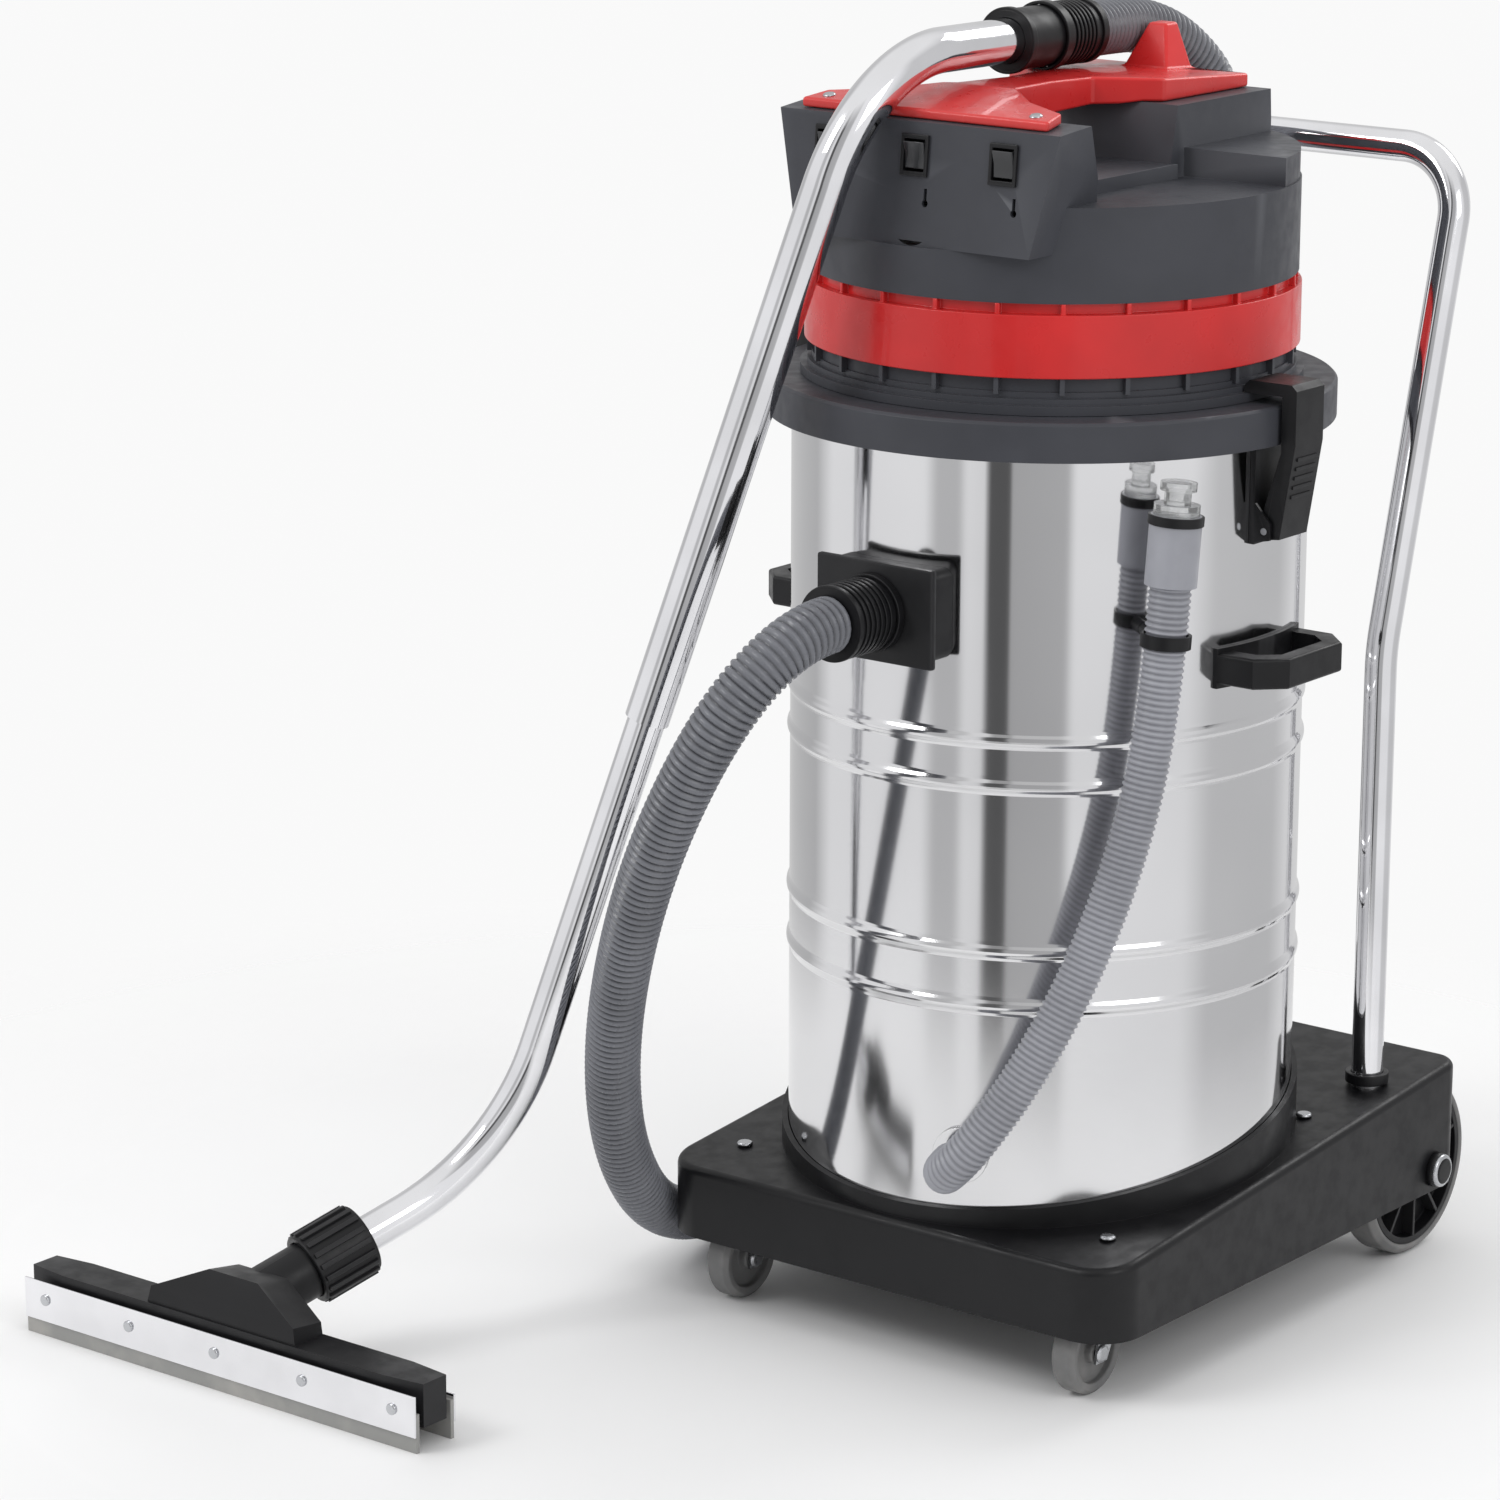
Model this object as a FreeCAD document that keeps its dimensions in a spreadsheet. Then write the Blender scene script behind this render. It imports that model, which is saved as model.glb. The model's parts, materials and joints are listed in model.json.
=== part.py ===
import FreeCAD, Part
import math
import os
import re
import Sketcher

# Wet and dry drum vacuum on a wheeled tray. Millimetres, +Z up. The machine's front, with the
# switches and the hose inlet, faces -Y. The origin is on the floor, under the middle of the box
# of the machine and its wand. Shapes are drawn about the drum's axis, which is then placed at
# (axis_x, axis_y).

V = FreeCAD.Vector
UP = V(0, 0, 1)
LEFT_AND_RIGHT = (("left", -1), ("right", 1))

DIMENSIONS = {
    "axis_x": 169, "axis_y": 143.6,
    # drum
    "drum_radius": 220, "drum_wall": 1.5, "drum_bottom": 118, "drum_top": 812,
    "bead_height": 2.6, "bead_half": 5, "bead_a": 322, "bead_b": 370, "bead_c": 512, "bead_d": 551,
    "rim_radius": "=drum_radius + 22", "rim_bottom": "=drum_top - 24", "rim_top": "=drum_top + 9",
    "rim_wall": 3, "fit": 0.3,
    "wheel_radius": 82,
    # wheeled tray
    "tray_half_width": "=drum_radius + 20", "tray_front": "=drum_radius + 15",
    "tray_rear": "=drum_radius + 99", "tray_bottom": 62,
    "tray_front_top": 126, "tray_rear_top": "=2 * wheel_radius + 14", "tray_wall": 5, "tray_corner": 42,
    "cradle_wall": 5, "screw_x": "=tray_half_width - 47", "screw_front_y": "=tray_front - 63",
    "screw_rear_y": "=tray_rear - 189", "screw_radius": 2.5,
    # rear wheels
    "wheel_width": 36, "wheel_x": "=tray_half_width - 35", "wheel_y": "=tray_rear - 41",
    "axle_radius": 8,
    "running_gap": 0.05,
    # casters
    "caster_x": "=tray_half_width - 56", "caster_y": "=tray_front - 67", "caster_trail": 20,
    "caster_radius": 37, "caster_width": 24,
    "caster_plate_top": 86, "pin_radius": 4, "fork_wall": 2.5,
    # push handle
    "grip_tube_radius": 14, "grip_tube_wall": 1.5, "handle_half": "=tray_half_width - 40",
    "handle_foot_y": "=tray_rear - 97", "handle_knee_z": 565,
    "handle_bar_y": 332, "handle_bar_z": 988, "handle_bend": 60,
    # head
    "head_radius": "=drum_radius - 13", "head_wall": 4, "base_ring_top": "=rim_top + 30",
    "band_radius": "=head_radius + 2.6", "band_top": "=base_ring_top + 52",
    "slot_top": "=band_top + 9", "spacer_radius": "=head_radius - 6", "spacer_count": 24, "deck_height": 990,
    "rear_deck_height": 1014, "switch_height": 1025, "block_half_low": 118, "block_half_high": 143,
    "block_front": "=head_radius - 4",
    "block_top": 1052, "hump_half": 100, "hump_front": 22, "hump_top": 1050, "saddle_top": 1002,
    # lifting handle on the head
    "lid_half": 124, "lid_thickness": 12, "grip_half": 24, "plate_half": 80, "fin_half": 24,
    "fin_top": 1101,
    # motors
    "motor_ring": 88, "can_radius": 68, "can_height": 62, "stator_radius": 46, "stator_top": 976,
    "impeller_radius": 60, "shaft_radius": 4, "motor_count": 3, "seal_height": 3,
    # filter and float
    "filter_radius": "=drum_radius - 30", "filter_depth": 230, "cage_radius": 118, "cage_height": 90,
    "float_radius": 108, "float_height": 24,
    # inlet
    "inlet_z": 655, "inlet_half": 55, "inlet_half_height": 38, "inlet_front": "=drum_radius + 25",
    "hose_radius": 24, "cuff_length": 62, "cuff_radius": 30,
    # side handles and latches
    "side_handle_z": 604, "side_handle_half": 62, "side_handle_reach": "=drum_radius + 52",
    "side_handle_height": 26,
    "side_handle_bar": 17, "latch_half": 21, "latch_bottom": 706, "latch_pin_z": 716,
    # drain
    "drain_radius": 18, "drain_cuff_radius": 21.5, "drain_cuff_length": 58,
    # wand and floor tool
    "wand_radius": 19, "wand_wall": 1.5, "wand_bend": 120, "wand_foot_bend": 190,
    "tool_x": -385, "tool_y": -620, "tool_half": 225, "tool_top": 58, "blade_height": 34,
}

doc = FreeCAD.newDocument("shop_vacuum")
sheet = doc.addObject("Spreadsheet::Sheet", "Sizes")
for row, (alias, value) in enumerate(DIMENSIONS.items(), start=1):
    sheet.set(f"A{row}", alias)
    sheet.set(f"B{row}", str(value))
    sheet.setAlias(f"B{row}", alias)
doc.recompute()

ALIAS_WORD = re.compile(r"\b(" + "|".join(DIMENSIONS) + r")\b")
SUBPARTS = []


def size(text):
    """The value in millimetres of an expression in the sheet's names."""
    return float(sheet.evalExpression(str(text)))


def bind(thing, prop, text):
    """Bind a property to an expression in the sheet's names."""
    thing.setExpression(prop, ALIAS_WORD.sub(r"Sizes.\1", str(text)))


def place(thing, x=0, y=0, z=0):
    """Put an object at a place about the drum's axis."""
    for letter, text in zip("xyz", (x, y, z)):
        bind(thing, "Placement.Base." + letter, text)


def keep(thing, label, x=0, y=0, z=0):
    """Name a finished sub-part and place it in the frame of the whole machine."""
    thing.Label = label
    place(thing, f"axis_x + ({x})", f"axis_y + ({y})", z)
    SUBPARTS.append(thing)
    return thing


def outline(body, plane, points):
    """A closed polygon sketch on a plane of its own body, each corner bound to the sheet."""
    sketch = body.newObject("Sketcher::SketchObject", "Outline")
    origin = [part for part in body.Origin.OriginFeatures if part.Role == plane][0]
    sketch.AttachmentSupport = [(origin, "")]
    sketch.MapMode = "FlatFace"
    corners = [V(size(a), size(b), 0) for a, b in points]
    count = len(corners)
    for i in range(count):
        sketch.addGeometry(Part.LineSegment(corners[i], corners[(i + 1) % count]), False)
    for i in range(count):
        sketch.addConstraint(Sketcher.Constraint("Coincident", i, 2, (i + 1) % count, 1))
    for i, (a, b) in enumerate(points):
        for kind, text, value in (("DistanceX", a, corners[i].x), ("DistanceY", b, corners[i].y)):
            number = sketch.addConstraint(Sketcher.Constraint(kind, -1, 1, i, 1, value))
            bind(sketch, f"Constraints[{number}]", text)
    return sketch


def turned(label, points, x=0, y=0, z=0, keep_it=True):
    """A body turned about +Z from a half section of (radius, height) corners."""
    body = doc.addObject("PartDesign::Body", label)
    sketch = outline(body, "XZ_Plane", points)
    turn = body.newObject("PartDesign::Revolution", "Turn")
    turn.Profile = sketch
    turn.ReferenceAxis = (sketch, ["V_Axis"])
    turn.Angle = 360
    body.Tip = turn
    return keep(body, label, x, y, z) if keep_it else body


def padded(label, plane, points, depth, x=0, y=0, z=0, keep_it=True):
    """A body padded both ways from a plane through its own origin, depth thick in all."""
    body = doc.addObject("PartDesign::Body", label)
    pad = body.newObject("PartDesign::Pad", "Pad")
    pad.Profile = outline(body, plane, points)
    pad.Midplane = True
    bind(pad, "Length", depth)
    body.Tip = pad
    return keep(body, label, x, y, z) if keep_it else body


def made(label, shape):
    """A sub-part whose shape is worked out here from the sheet's sizes."""
    thing = doc.addObject("Part::Feature", label)
    thing.Shape = shape
    return keep(thing, label)


def rod(radius, length, start, direction=UP):
    return Part.makeCylinder(radius, length, start, direction)


def ring(outer, inner, z_low, z_high, centre=V(0, 0, 0)):
    body = rod(outer, z_high - z_low, centre + V(0, 0, z_low))
    return body.cut(rod(inner, z_high - z_low + 2, centre + V(0, 0, z_low - 1)))


def prism(points, direction):
    """A solid swept straight from a closed polygon."""
    return Part.Face(Part.makePolygon(points + [points[0]])).extrude(direction)


def slab(low, high):
    return Part.makeBox(*(high - low), low)


def fused(shapes):
    return shapes[0].multiFuse(shapes[1:]).removeSplitter()


def mirrored(shape):
    return shape.mirror(V(0, 0, 0), V(1, 0, 0))


def bent_path(points, radii):
    """Straight runs joined by arcs tangent to both, one radius for each inner corner."""
    edges = []
    at = points[0]
    for before, corner, after, radius in zip(points, points[1:], points[2:], radii):
        inward = (corner - before).normalize()
        outward = (after - corner).normalize()
        half_turn = inward.getAngle(outward) / 2
        reach = radius * math.tan(half_turn)
        start = corner - inward * reach
        end = corner + outward * reach
        toward_centre = (outward - inward).normalize()
        middle = corner + toward_centre * (radius / math.cos(half_turn) - radius)
        edges.append(Part.LineSegment(at, start).toShape())
        edges.append(Part.Arc(start, middle, end).toShape())
        at = end
    edges.append(Part.LineSegment(at, points[-1]).toShape())
    return Part.Wire(edges)


def swept(path, radius):
    """A round solid along a wire."""
    edge = path.Edges[0]
    start = edge.valueAt(edge.FirstParameter)
    direction = edge.tangentAt(edge.FirstParameter)
    section = Part.Wire([Part.makeCircle(radius, start, direction)])
    return path.makePipeShell([section], True, False)


def swept_tube(path, radius, wall):
    """A round tube along a wire."""
    return swept(path, radius).cut(swept(path, radius - wall))


def cord_tube(name, points, radius):
    """A free hose: each corner gets the largest arc that its two runs allow."""
    share = 0.45
    radii = []
    for before, corner, after in zip(points, points[1:], points[2:]):
        run = min((corner - before).Length, (after - corner).Length)
        half_turn = (corner - before).getAngle(after - corner) / 2
        radii.append(share * run / math.tan(half_turn))
    path = bent_path(points, radii)
    tube = swept(path, radius)
    expected = math.pi * radius ** 2 * path.Length
    print(name, "length", round(path.Length), "radii", [round(r) for r in radii],
          "volume ratio", round(tube.Volume / expected, 4))
    return tube


def bar_between(start, end, radius):
    return rod(radius, (end - start).Length, start, end - start)


# ---------------------------------------------------------------- drum

def bead_corners(middle):
    """The corners of one round bead on the drum's outside, from below to above."""
    return [("drum_radius", f"{middle} - bead_half"),
            ("drum_radius + 0.7 * bead_height", f"{middle} - 0.55 * bead_half"),
            ("drum_radius + bead_height", middle),
            ("drum_radius + 0.7 * bead_height", f"{middle} + 0.55 * bead_half"),
            ("drum_radius", f"{middle} + bead_half")]


drum_section = [(0, "drum_bottom"), ("drum_radius - 12", "drum_bottom"), ("drum_radius", "drum_bottom + 12")]
for bead in ("bead_a", "bead_b", "bead_c", "bead_d"):
    drum_section += bead_corners(bead)
drum_section += [("drum_radius", "drum_top"), ("drum_radius - drum_wall", "drum_top"),
                 ("drum_radius - drum_wall", "drum_bottom + 12.6"),
                 ("drum_radius - 12.6", "drum_bottom + drum_wall"), (0, "drum_bottom + drum_wall")]
turned("drum_shell", drum_section)

turned("drum_rim", [
    ("drum_radius + fit", "rim_bottom"), ("drum_radius + fit + rim_wall", "rim_bottom"),
    ("drum_radius + fit + rim_wall", "rim_top - 5"), ("rim_radius - rim_wall", "rim_top - 5"),
    ("rim_radius - rim_wall", "rim_bottom"), ("rim_radius - 0.8", "rim_bottom"),
    ("rim_radius", "rim_bottom + 1"), ("rim_radius", "rim_top - 3"), ("rim_radius - 3", "rim_top"),
    ("filter_radius - 2", "rim_top"), ("filter_radius - 2", "drum_top + fit"),
    ("drum_radius + fit", "drum_top + fit")])

# ---------------------------------------------------------------- wheeled tray

tray_half = size("tray_half_width")
tray_front = size("-tray_front")
tray_rear = size("tray_rear")
tray_low = size("tray_bottom")
tray_wall = size("tray_wall")


def deck_z(y):
    """Height of the sloping deck at a distance y behind the drum's axis."""
    share = (y - tray_front) / (tray_rear - tray_front)
    return size("tray_front_top") + share * size("tray_rear_top - tray_front_top")


def tray_block(inset, bottom, lowered):
    """The tray's outer form, made smaller all round by inset and cut off below the deck."""
    half = tray_half - inset
    front = tray_front + inset
    rear = tray_rear - inset
    profile = [V(-half, front, bottom), V(-half, rear, bottom), V(-half, rear, deck_z(rear) - lowered),
               V(-half, front, deck_z(front) - lowered)]
    block = prism(profile, V(2 * half, 0, 0))
    corner = size("tray_corner") - inset
    upright = [e for e in block.Edges if abs(e.tangentAt(e.FirstParameter).z) > 0.99]
    fronts = [e for e in upright if e.CenterOfMass.y < 0]
    rears = [e for e in upright if e.CenterOfMass.y > 0]
    return block.makeFillet(corner, fronts).makeFillet(corner / 2, rears)


outer_block = tray_block(0, tray_low, 0)
deck_edges = [e for e in outer_block.Edges
              if e.CenterOfMass.z > deck_z(e.CenterOfMass.y) - 0.5 and e.BoundBox.ZLength < 60]
tray = outer_block.makeFillet(7, deck_edges)
tray = tray.cut(tray_block(tray_wall, tray_low - 1, tray_wall))
cradle_inner = size("drum_radius + 0.5")
cradle_outer = cradle_inner + size("cradle_wall")
cradle_floor = size("drum_bottom")
cradle = rod(cradle_outer, 160, V(0, 0, cradle_floor - tray_wall))
cradle_lip = [V(-300, -260, 134), V(-300, 300, 242), V(-300, 300, 400), V(-300, -260, 400)]
cradle = cradle.cut(prism(cradle_lip, V(600, 0, 0)))
tray = tray.fuse(cradle)
boss_radius = 26
casters_at = [V(side * size("caster_x"), -size("caster_y"), 0) for _, side in LEFT_AND_RIGHT]
for spot in casters_at:
    boss_low = size("caster_plate_top")
    boss = rod(boss_radius, deck_z(spot.y) - boss_low - 2, spot + V(0, 0, boss_low))
    tray = tray.fuse(boss.common(tray_block(1, tray_low, 1)))
tray = tray.cut(rod(cradle_inner, 300, V(0, 0, cradle_floor)))
wheel_gap = 5
wheel_in = size("wheel_x - wheel_width / 2") - wheel_gap
wheel_out = size("wheel_x + wheel_width / 2") + wheel_gap
well_top = size("2 * wheel_radius") + 4
for _, side in LEFT_AND_RIGHT:
    near, far = sorted((side * wheel_in, side * wheel_out))
    tray = tray.cut(slab(V(near, tray_rear - 40, tray_low - 5), V(far, tray_rear + 5, well_top)))
axle_high = size("wheel_radius")
axle_y = size("wheel_y")
axle_hole = size("axle_radius") + 0.02
tray = tray.cut(rod(axle_hole, 600, V(-300, axle_y, axle_high), V(1, 0, 0)))
handle_foot = V(size("handle_half"), size("handle_foot_y"), deck_z(size("handle_foot_y")))
handle_hole = size("grip_tube_radius") + 0.2
socket_depth = 12
for _, side in LEFT_AND_RIGHT:
    foot = V(side * handle_foot.x, handle_foot.y, handle_foot.z)
    tray = tray.cut(rod(handle_hole, 60, foot - V(0, 0, socket_depth)))
screw_spots = [V(side * size("screw_x"), y, 0) for _, side in LEFT_AND_RIGHT
               for y in (-size("screw_front_y"), size("screw_rear_y"))]
for spot in screw_spots:
    tray = tray.cut(rod(size("screw_radius"), 60, spot + V(0, 0, deck_z(spot.y) - 20)))
made("base_tray", tray.removeSplitter())


def pan_screw(spot, direction, head_radius, shank_radius, shank_length):
    """A pan-head screw, its head standing on the surface at spot and its shank behind."""
    head = rod(head_radius, head_radius * 0.45, spot, direction)
    head = head.makeFillet(head_radius * 0.3, [e for e in head.Edges
                                               if (e.CenterOfMass - spot).dot(direction) > 0.1])
    return head.fuse(rod(shank_radius, shank_length, spot, direction * -1)).removeSplitter()


made("base_screws", Part.makeCompound([
    pan_screw(V(s.x, s.y, deck_z(s.y) + 0.7), UP, 7, size("screw_radius"), 16) for s in screw_spots]))

# ---------------------------------------------------------------- rear wheels

turn_to_x = FreeCAD.Rotation(V(0, 1, 0), 90)
axle = rod(size("axle_radius"), 2 * tray_half + 4, V(-tray_half - 2, axle_y, axle_high), V(1, 0, 0))
for _, side in LEFT_AND_RIGHT:
    cap = rod(15, 10, V(side * tray_half, axle_y, axle_high), V(side, 0, 0))
    cap = cap.makeFillet(3, [e for e in cap.Edges if abs(e.CenterOfMass.x) > tray_half + 5])
    axle = axle.fuse(cap)
made("rear_axle", axle.removeSplitter())

half_wheel = size("wheel_width / 2")
tread = 9


def upright_turned(label, section, x, y, z):
    """A turned body whose axis lies along X."""
    body = turned(label, section, x, y, z)
    body.Placement.Rotation = turn_to_x
    return body


for name, side in LEFT_AND_RIGHT:
    upright_turned(f"rear_tyre_{name}", [
        (f"wheel_radius - {tread}", "-wheel_width / 2 + 2"), ("wheel_radius - 5", "-wheel_width / 2"),
        ("wheel_radius", "-wheel_width / 2 + 6"), ("wheel_radius", "wheel_width / 2 - 6"),
        ("wheel_radius - 5", "wheel_width / 2"), (f"wheel_radius - {tread}", "wheel_width / 2 - 2")],
        f"{side} * wheel_x", "wheel_y", "wheel_radius")
    upright_turned(f"rear_hub_{name}", [
        ("axle_radius + running_gap", "-wheel_width / 2"), ("axle_radius + 9", "-wheel_width / 2"),
        ("axle_radius + 9", "-4"), (f"wheel_radius - {tread} - 6", "-4"),
        (f"wheel_radius - {tread} - 6", "-wheel_width / 2 + 2"),
        (f"wheel_radius - {tread}", "-wheel_width / 2 + 2"),
        (f"wheel_radius - {tread}", "wheel_width / 2 - 2"),
        (f"wheel_radius - {tread} - 6", "wheel_width / 2 - 2"),
        (f"wheel_radius - {tread} - 6", "4"), ("axle_radius + 9", "4"),
        ("axle_radius + 9", "wheel_width / 2"), ("axle_radius + running_gap", "wheel_width / 2")],
        f"{side} * wheel_x", "wheel_y", "wheel_radius")

# ---------------------------------------------------------------- casters

caster_r = size("caster_radius")
pin_r = size("pin_radius")
fork_in = size("caster_width / 2") + 1.5
fork_wall = size("fork_wall")
plate_top = size("caster_plate_top")
plate_gap = 0.4
for (name, side), spot in zip(LEFT_AND_RIGHT, casters_at):
    hub_at = spot + V(0, -size("caster_trail"), caster_r)
    crown = rod(22, 6, spot + V(0, 0, plate_top - plate_gap - 6))
    fork = crown
    for arm in (-1, 1):
        near = hub_at.x + arm * fork_in
        low_x, high_x = sorted((near, near + arm * fork_wall))
        cheek = [V(low_x, hub_at.y - 8, hub_at.z - 8), V(low_x, hub_at.y + 8, hub_at.z - 8),
                 V(low_x, spot.y + 14, plate_top - 7), V(low_x, spot.y - 18, plate_top - 7)]
        fork = fork.fuse(prism(cheek, V(fork_wall, 0, 0)))
    bridge = slab(V(hub_at.x - fork_in - fork_wall, spot.y - 18, plate_top - 9.5),
                  V(hub_at.x + fork_in + fork_wall, spot.y + 14, plate_top - 6.3))
    fork = fork.fuse(bridge)
    pin_half = fork_in + fork_wall + 2
    pin = rod(pin_r, 2 * pin_half, hub_at - V(pin_half, 0, 0), V(1, 0, 0))
    made(f"caster_fork_{name}", fork.fuse(pin).removeSplitter())
    place_wheel = (f"{side} * caster_x", "-caster_y - caster_trail", "caster_radius")
    upright_turned(f"caster_wheel_{name}", [
        ("pin_radius + running_gap", "-caster_width / 2"), ("pin_radius + 6", "-caster_width / 2"),
        ("pin_radius + 6", "-4"), ("caster_radius - 10", "-4"),
        ("caster_radius - 10", "-caster_width / 2 + 1"),
        ("caster_radius - 4", "-caster_width / 2"), ("caster_radius", "-caster_width / 2 + 4"),
        ("caster_radius", "caster_width / 2 - 4"), ("caster_radius - 4", "caster_width / 2"),
        ("caster_radius - 10", "caster_width / 2 - 1"), ("caster_radius - 10", "4"),
        ("pin_radius + 6", "4"), ("pin_radius + 6", "caster_width / 2"),
        ("pin_radius + running_gap", "caster_width / 2")], *place_wheel)

# ---------------------------------------------------------------- push handle

bar_y = size("handle_bar_y")
bar_z = size("handle_bar_z")
knee_z = size("handle_knee_z")
bend = size("handle_bend")
knee = V(-handle_foot.x, handle_foot.y, knee_z)
shoulder = V(-handle_foot.x, bar_y, bar_z)
left_side = [V(-handle_foot.x, handle_foot.y, handle_foot.z - socket_depth), knee, shoulder]
right_side = [V(-p.x, p.y, p.z) for p in reversed(left_side)]
handle_path = bent_path(left_side + right_side, [150, bend, bend, 150])
made("push_handle", swept_tube(handle_path, size("grip_tube_radius"), size("grip_tube_wall")))
collar_inner = handle_hole
made("handle_collars", Part.makeCompound([
    ring(collar_inner + 5, collar_inner, handle_foot.z + 2.5, handle_foot.z + 12,
         V(side * handle_foot.x, handle_foot.y, 0)) for _, side in LEFT_AND_RIGHT]))

# ---------------------------------------------------------------- head: base ring, band, seal

base_low = size("rim_top")
ring_top = size("base_ring_top")
head_r = size("head_radius")
spacer_r = size("spacer_radius")
motor_count = int(size("motor_count"))
motors_at = []
for number in range(motor_count):
    turn = math.radians(90 + number * 360 / motor_count)
    motors_at.append(V(size("motor_ring") * math.cos(turn), size("motor_ring") * math.sin(turn), 0))

floor_low = base_low + 12
floor_high = floor_low + 4


def spacers(inner, outer, z_low, z_high):
    """The short upright ribs between two rings of the head."""
    count = int(size("spacer_count"))
    rib = slab(V(inner, -2, z_low), V(outer, 2, z_high))
    return [rib.rotated(V(0, 0, 0), UP, (i + 0.5) * 360 / count) for i in range(count)]


head_base = fused(
    [ring(head_r + 6, spacer_r - 6, base_low + 0.4, base_low + 8),
     ring(head_r, spacer_r - 6, base_low + 8, base_low + 13),
     ring(head_r - 4, spacer_r - 6, base_low + 13, base_low + 18),
     ring(spacer_r, spacer_r - 6, base_low + 18, ring_top),
     rod(spacer_r - 3, floor_high - floor_low, V(0, 0, floor_low))]
    + spacers(spacer_r - 2, head_r, base_low + 16, ring_top))
intake_radius = 22
for spot in motors_at:
    head_base = head_base.cut(rod(intake_radius, 40, spot + V(0, 0, floor_low - 10)))
made("head_base", head_base)

turned("head_seal", [
    ("filter_radius - 4", "rim_top + 3"), ("filter_radius + 4", "rim_top + 3"),
    ("filter_radius + 4", "rim_top + 12"), ("filter_radius - 4", "rim_top + 12")])

band = fused(
    [ring(size("band_radius"), size("band_radius") - 3.2, ring_top, size("band_top")),
     ring(size("band_radius") - 3, spacer_r - 6, ring_top, ring_top + 3),
     ring(spacer_r, spacer_r - 3, ring_top, size("slot_top")),
     ring(size("band_radius") - 3, spacer_r - 2, size("band_top") - 3, size("band_top"))]
    + spacers(spacer_r - 1, head_r, size("band_top") - 1, size("slot_top")))
made("motor_band", band)

# ---------------------------------------------------------------- head: top cover

cover_low = size("slot_top")
deck = size("deck_height")
rear_deck = size("rear_deck_height")
block_front = -size("block_front")
block_top = size("block_top")
saddle = size("saddle_top")
hump_top = size("hump_top")
hump_front = size("hump_front")
hump_rear = 182
rear_front = 45
panel_low = 952
panel_drop = 9
step_in = 1.5
step_low = deck - 22


def cover_form(inset):
    """The top cover's form, made smaller all round by inset."""
    skirt = rod(head_r - inset, deck - inset - cover_low, V(0, 0, cover_low))
    rear = rod(head_r - step_in - inset, rear_deck - inset - step_low, V(0, 0, step_low))
    rear = rear.common(slab(V(-300, rear_front + inset, step_low - 1), V(300, 300, rear_deck)))
    low_half = size("block_half_low") - inset
    high_half = size("block_half_high") - inset
    block_side = [V(0, block_front + inset, panel_low + inset),
                  V(0, block_front + panel_drop + inset, block_top - inset),
                  V(0, -152 - inset / 2, block_top + 4 - inset), V(0, -122 - inset, saddle - inset),
                  V(0, 30 - inset, saddle - inset), V(0, 30 - inset, panel_low + inset)]
    ridge = prism([p + V(-200, 0, 0) for p in block_side], V(400, 0, 0))
    front_trim = [V(-low_half, -260, panel_low), V(low_half, -260, panel_low),
                  V(high_half, -260, block_top + 10),
                  V(-high_half, -260, block_top + 10)]
    ridge = ridge.common(prism(front_trim, V(0, 300, 0)))
    waist = [V(-high_half - 5, -260, 900), V(high_half + 5, -260, 900), V(high_half + 5, -148 + inset, 900),
             V(104 - inset, -92, 900), V(104 - inset, 40, 900), V(-104 + inset, 40, 900),
             V(-104 + inset, -92, 900), V(-high_half - 5, -148 + inset, 900)]
    ridge = ridge.common(prism(waist, V(0, 0, 200)))
    hump_half = size("hump_half") - inset
    hump_side = [V(-hump_half, hump_front - 4 + inset, step_low),
                 V(-hump_half, hump_front + 12 + inset, hump_top - inset),
                 V(-hump_half, hump_rear - 6 - inset, hump_top - inset),
                 V(-hump_half, hump_rear - inset, step_low)]
    hump = prism(hump_side, V(2 * hump_half, 0, 0))
    hump = hump.common(rod(head_r - 2 * step_in - inset, 200, V(0, 0, cover_low)))
    whole = skirt.fuse(rear).fuse(ridge).fuse(hump)
    before_panel = [V(-200, -260, panel_low + inset), V(-200, block_front + inset, panel_low + inset),
                    V(-200, block_front + panel_drop + inset, block_top + inset),
                    V(-200, -260, block_top + inset)]
    return whole.cut(prism(before_panel, V(400, 0, 0)))


cover_outer = cover_form(0)
cover = cover_outer.cut(cover_form(size("head_wall")))
cover = cover.cut(rod(head_r - size("head_wall"), 20, V(0, 0, cover_low - 1)))
switch_pitch = 88
switch_z = size("switch_height")
switch_half = V(13.5, 0, 17)
switches_at = [V(i * switch_pitch, 0, switch_z) for i in (-1, 0, 1)]
panel_lean = math.degrees(math.atan2(panel_drop, block_top - panel_low))


def panel_y(z):
    """The switch panel's face at a height: it leans back towards the top."""
    return block_front + panel_drop * (z - panel_low) / (block_top - panel_low)


def on_panel(shape, spot):
    """A shape drawn about the origin, facing -Y, set on the leaning switch panel."""
    lean = FreeCAD.Rotation(V(1, 0, 0), -panel_lean)
    where = FreeCAD.Placement(V(spot.x, panel_y(spot.z), spot.z), lean)
    return shape.transformed(where.toMatrix(), copy=True)


window = slab(V(-12.2, -20, -15.7), V(12.2, 30, 15.7))
for spot in switches_at:
    cover = cover.cut(on_panel(window, spot))
keyhole = rod(3, 20, V(0, -10, 0), V(0, 1, 0)).fuse(slab(V(-1.5, -10, 0), V(1.5, 10, 12)))
keyhole_drop = 38
for spot in switches_at[1:]:
    cover = cover.cut(on_panel(keyhole, V(spot.x + 12, 0, switch_z - keyhole_drop)))
made("head_cover", cover)

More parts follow.
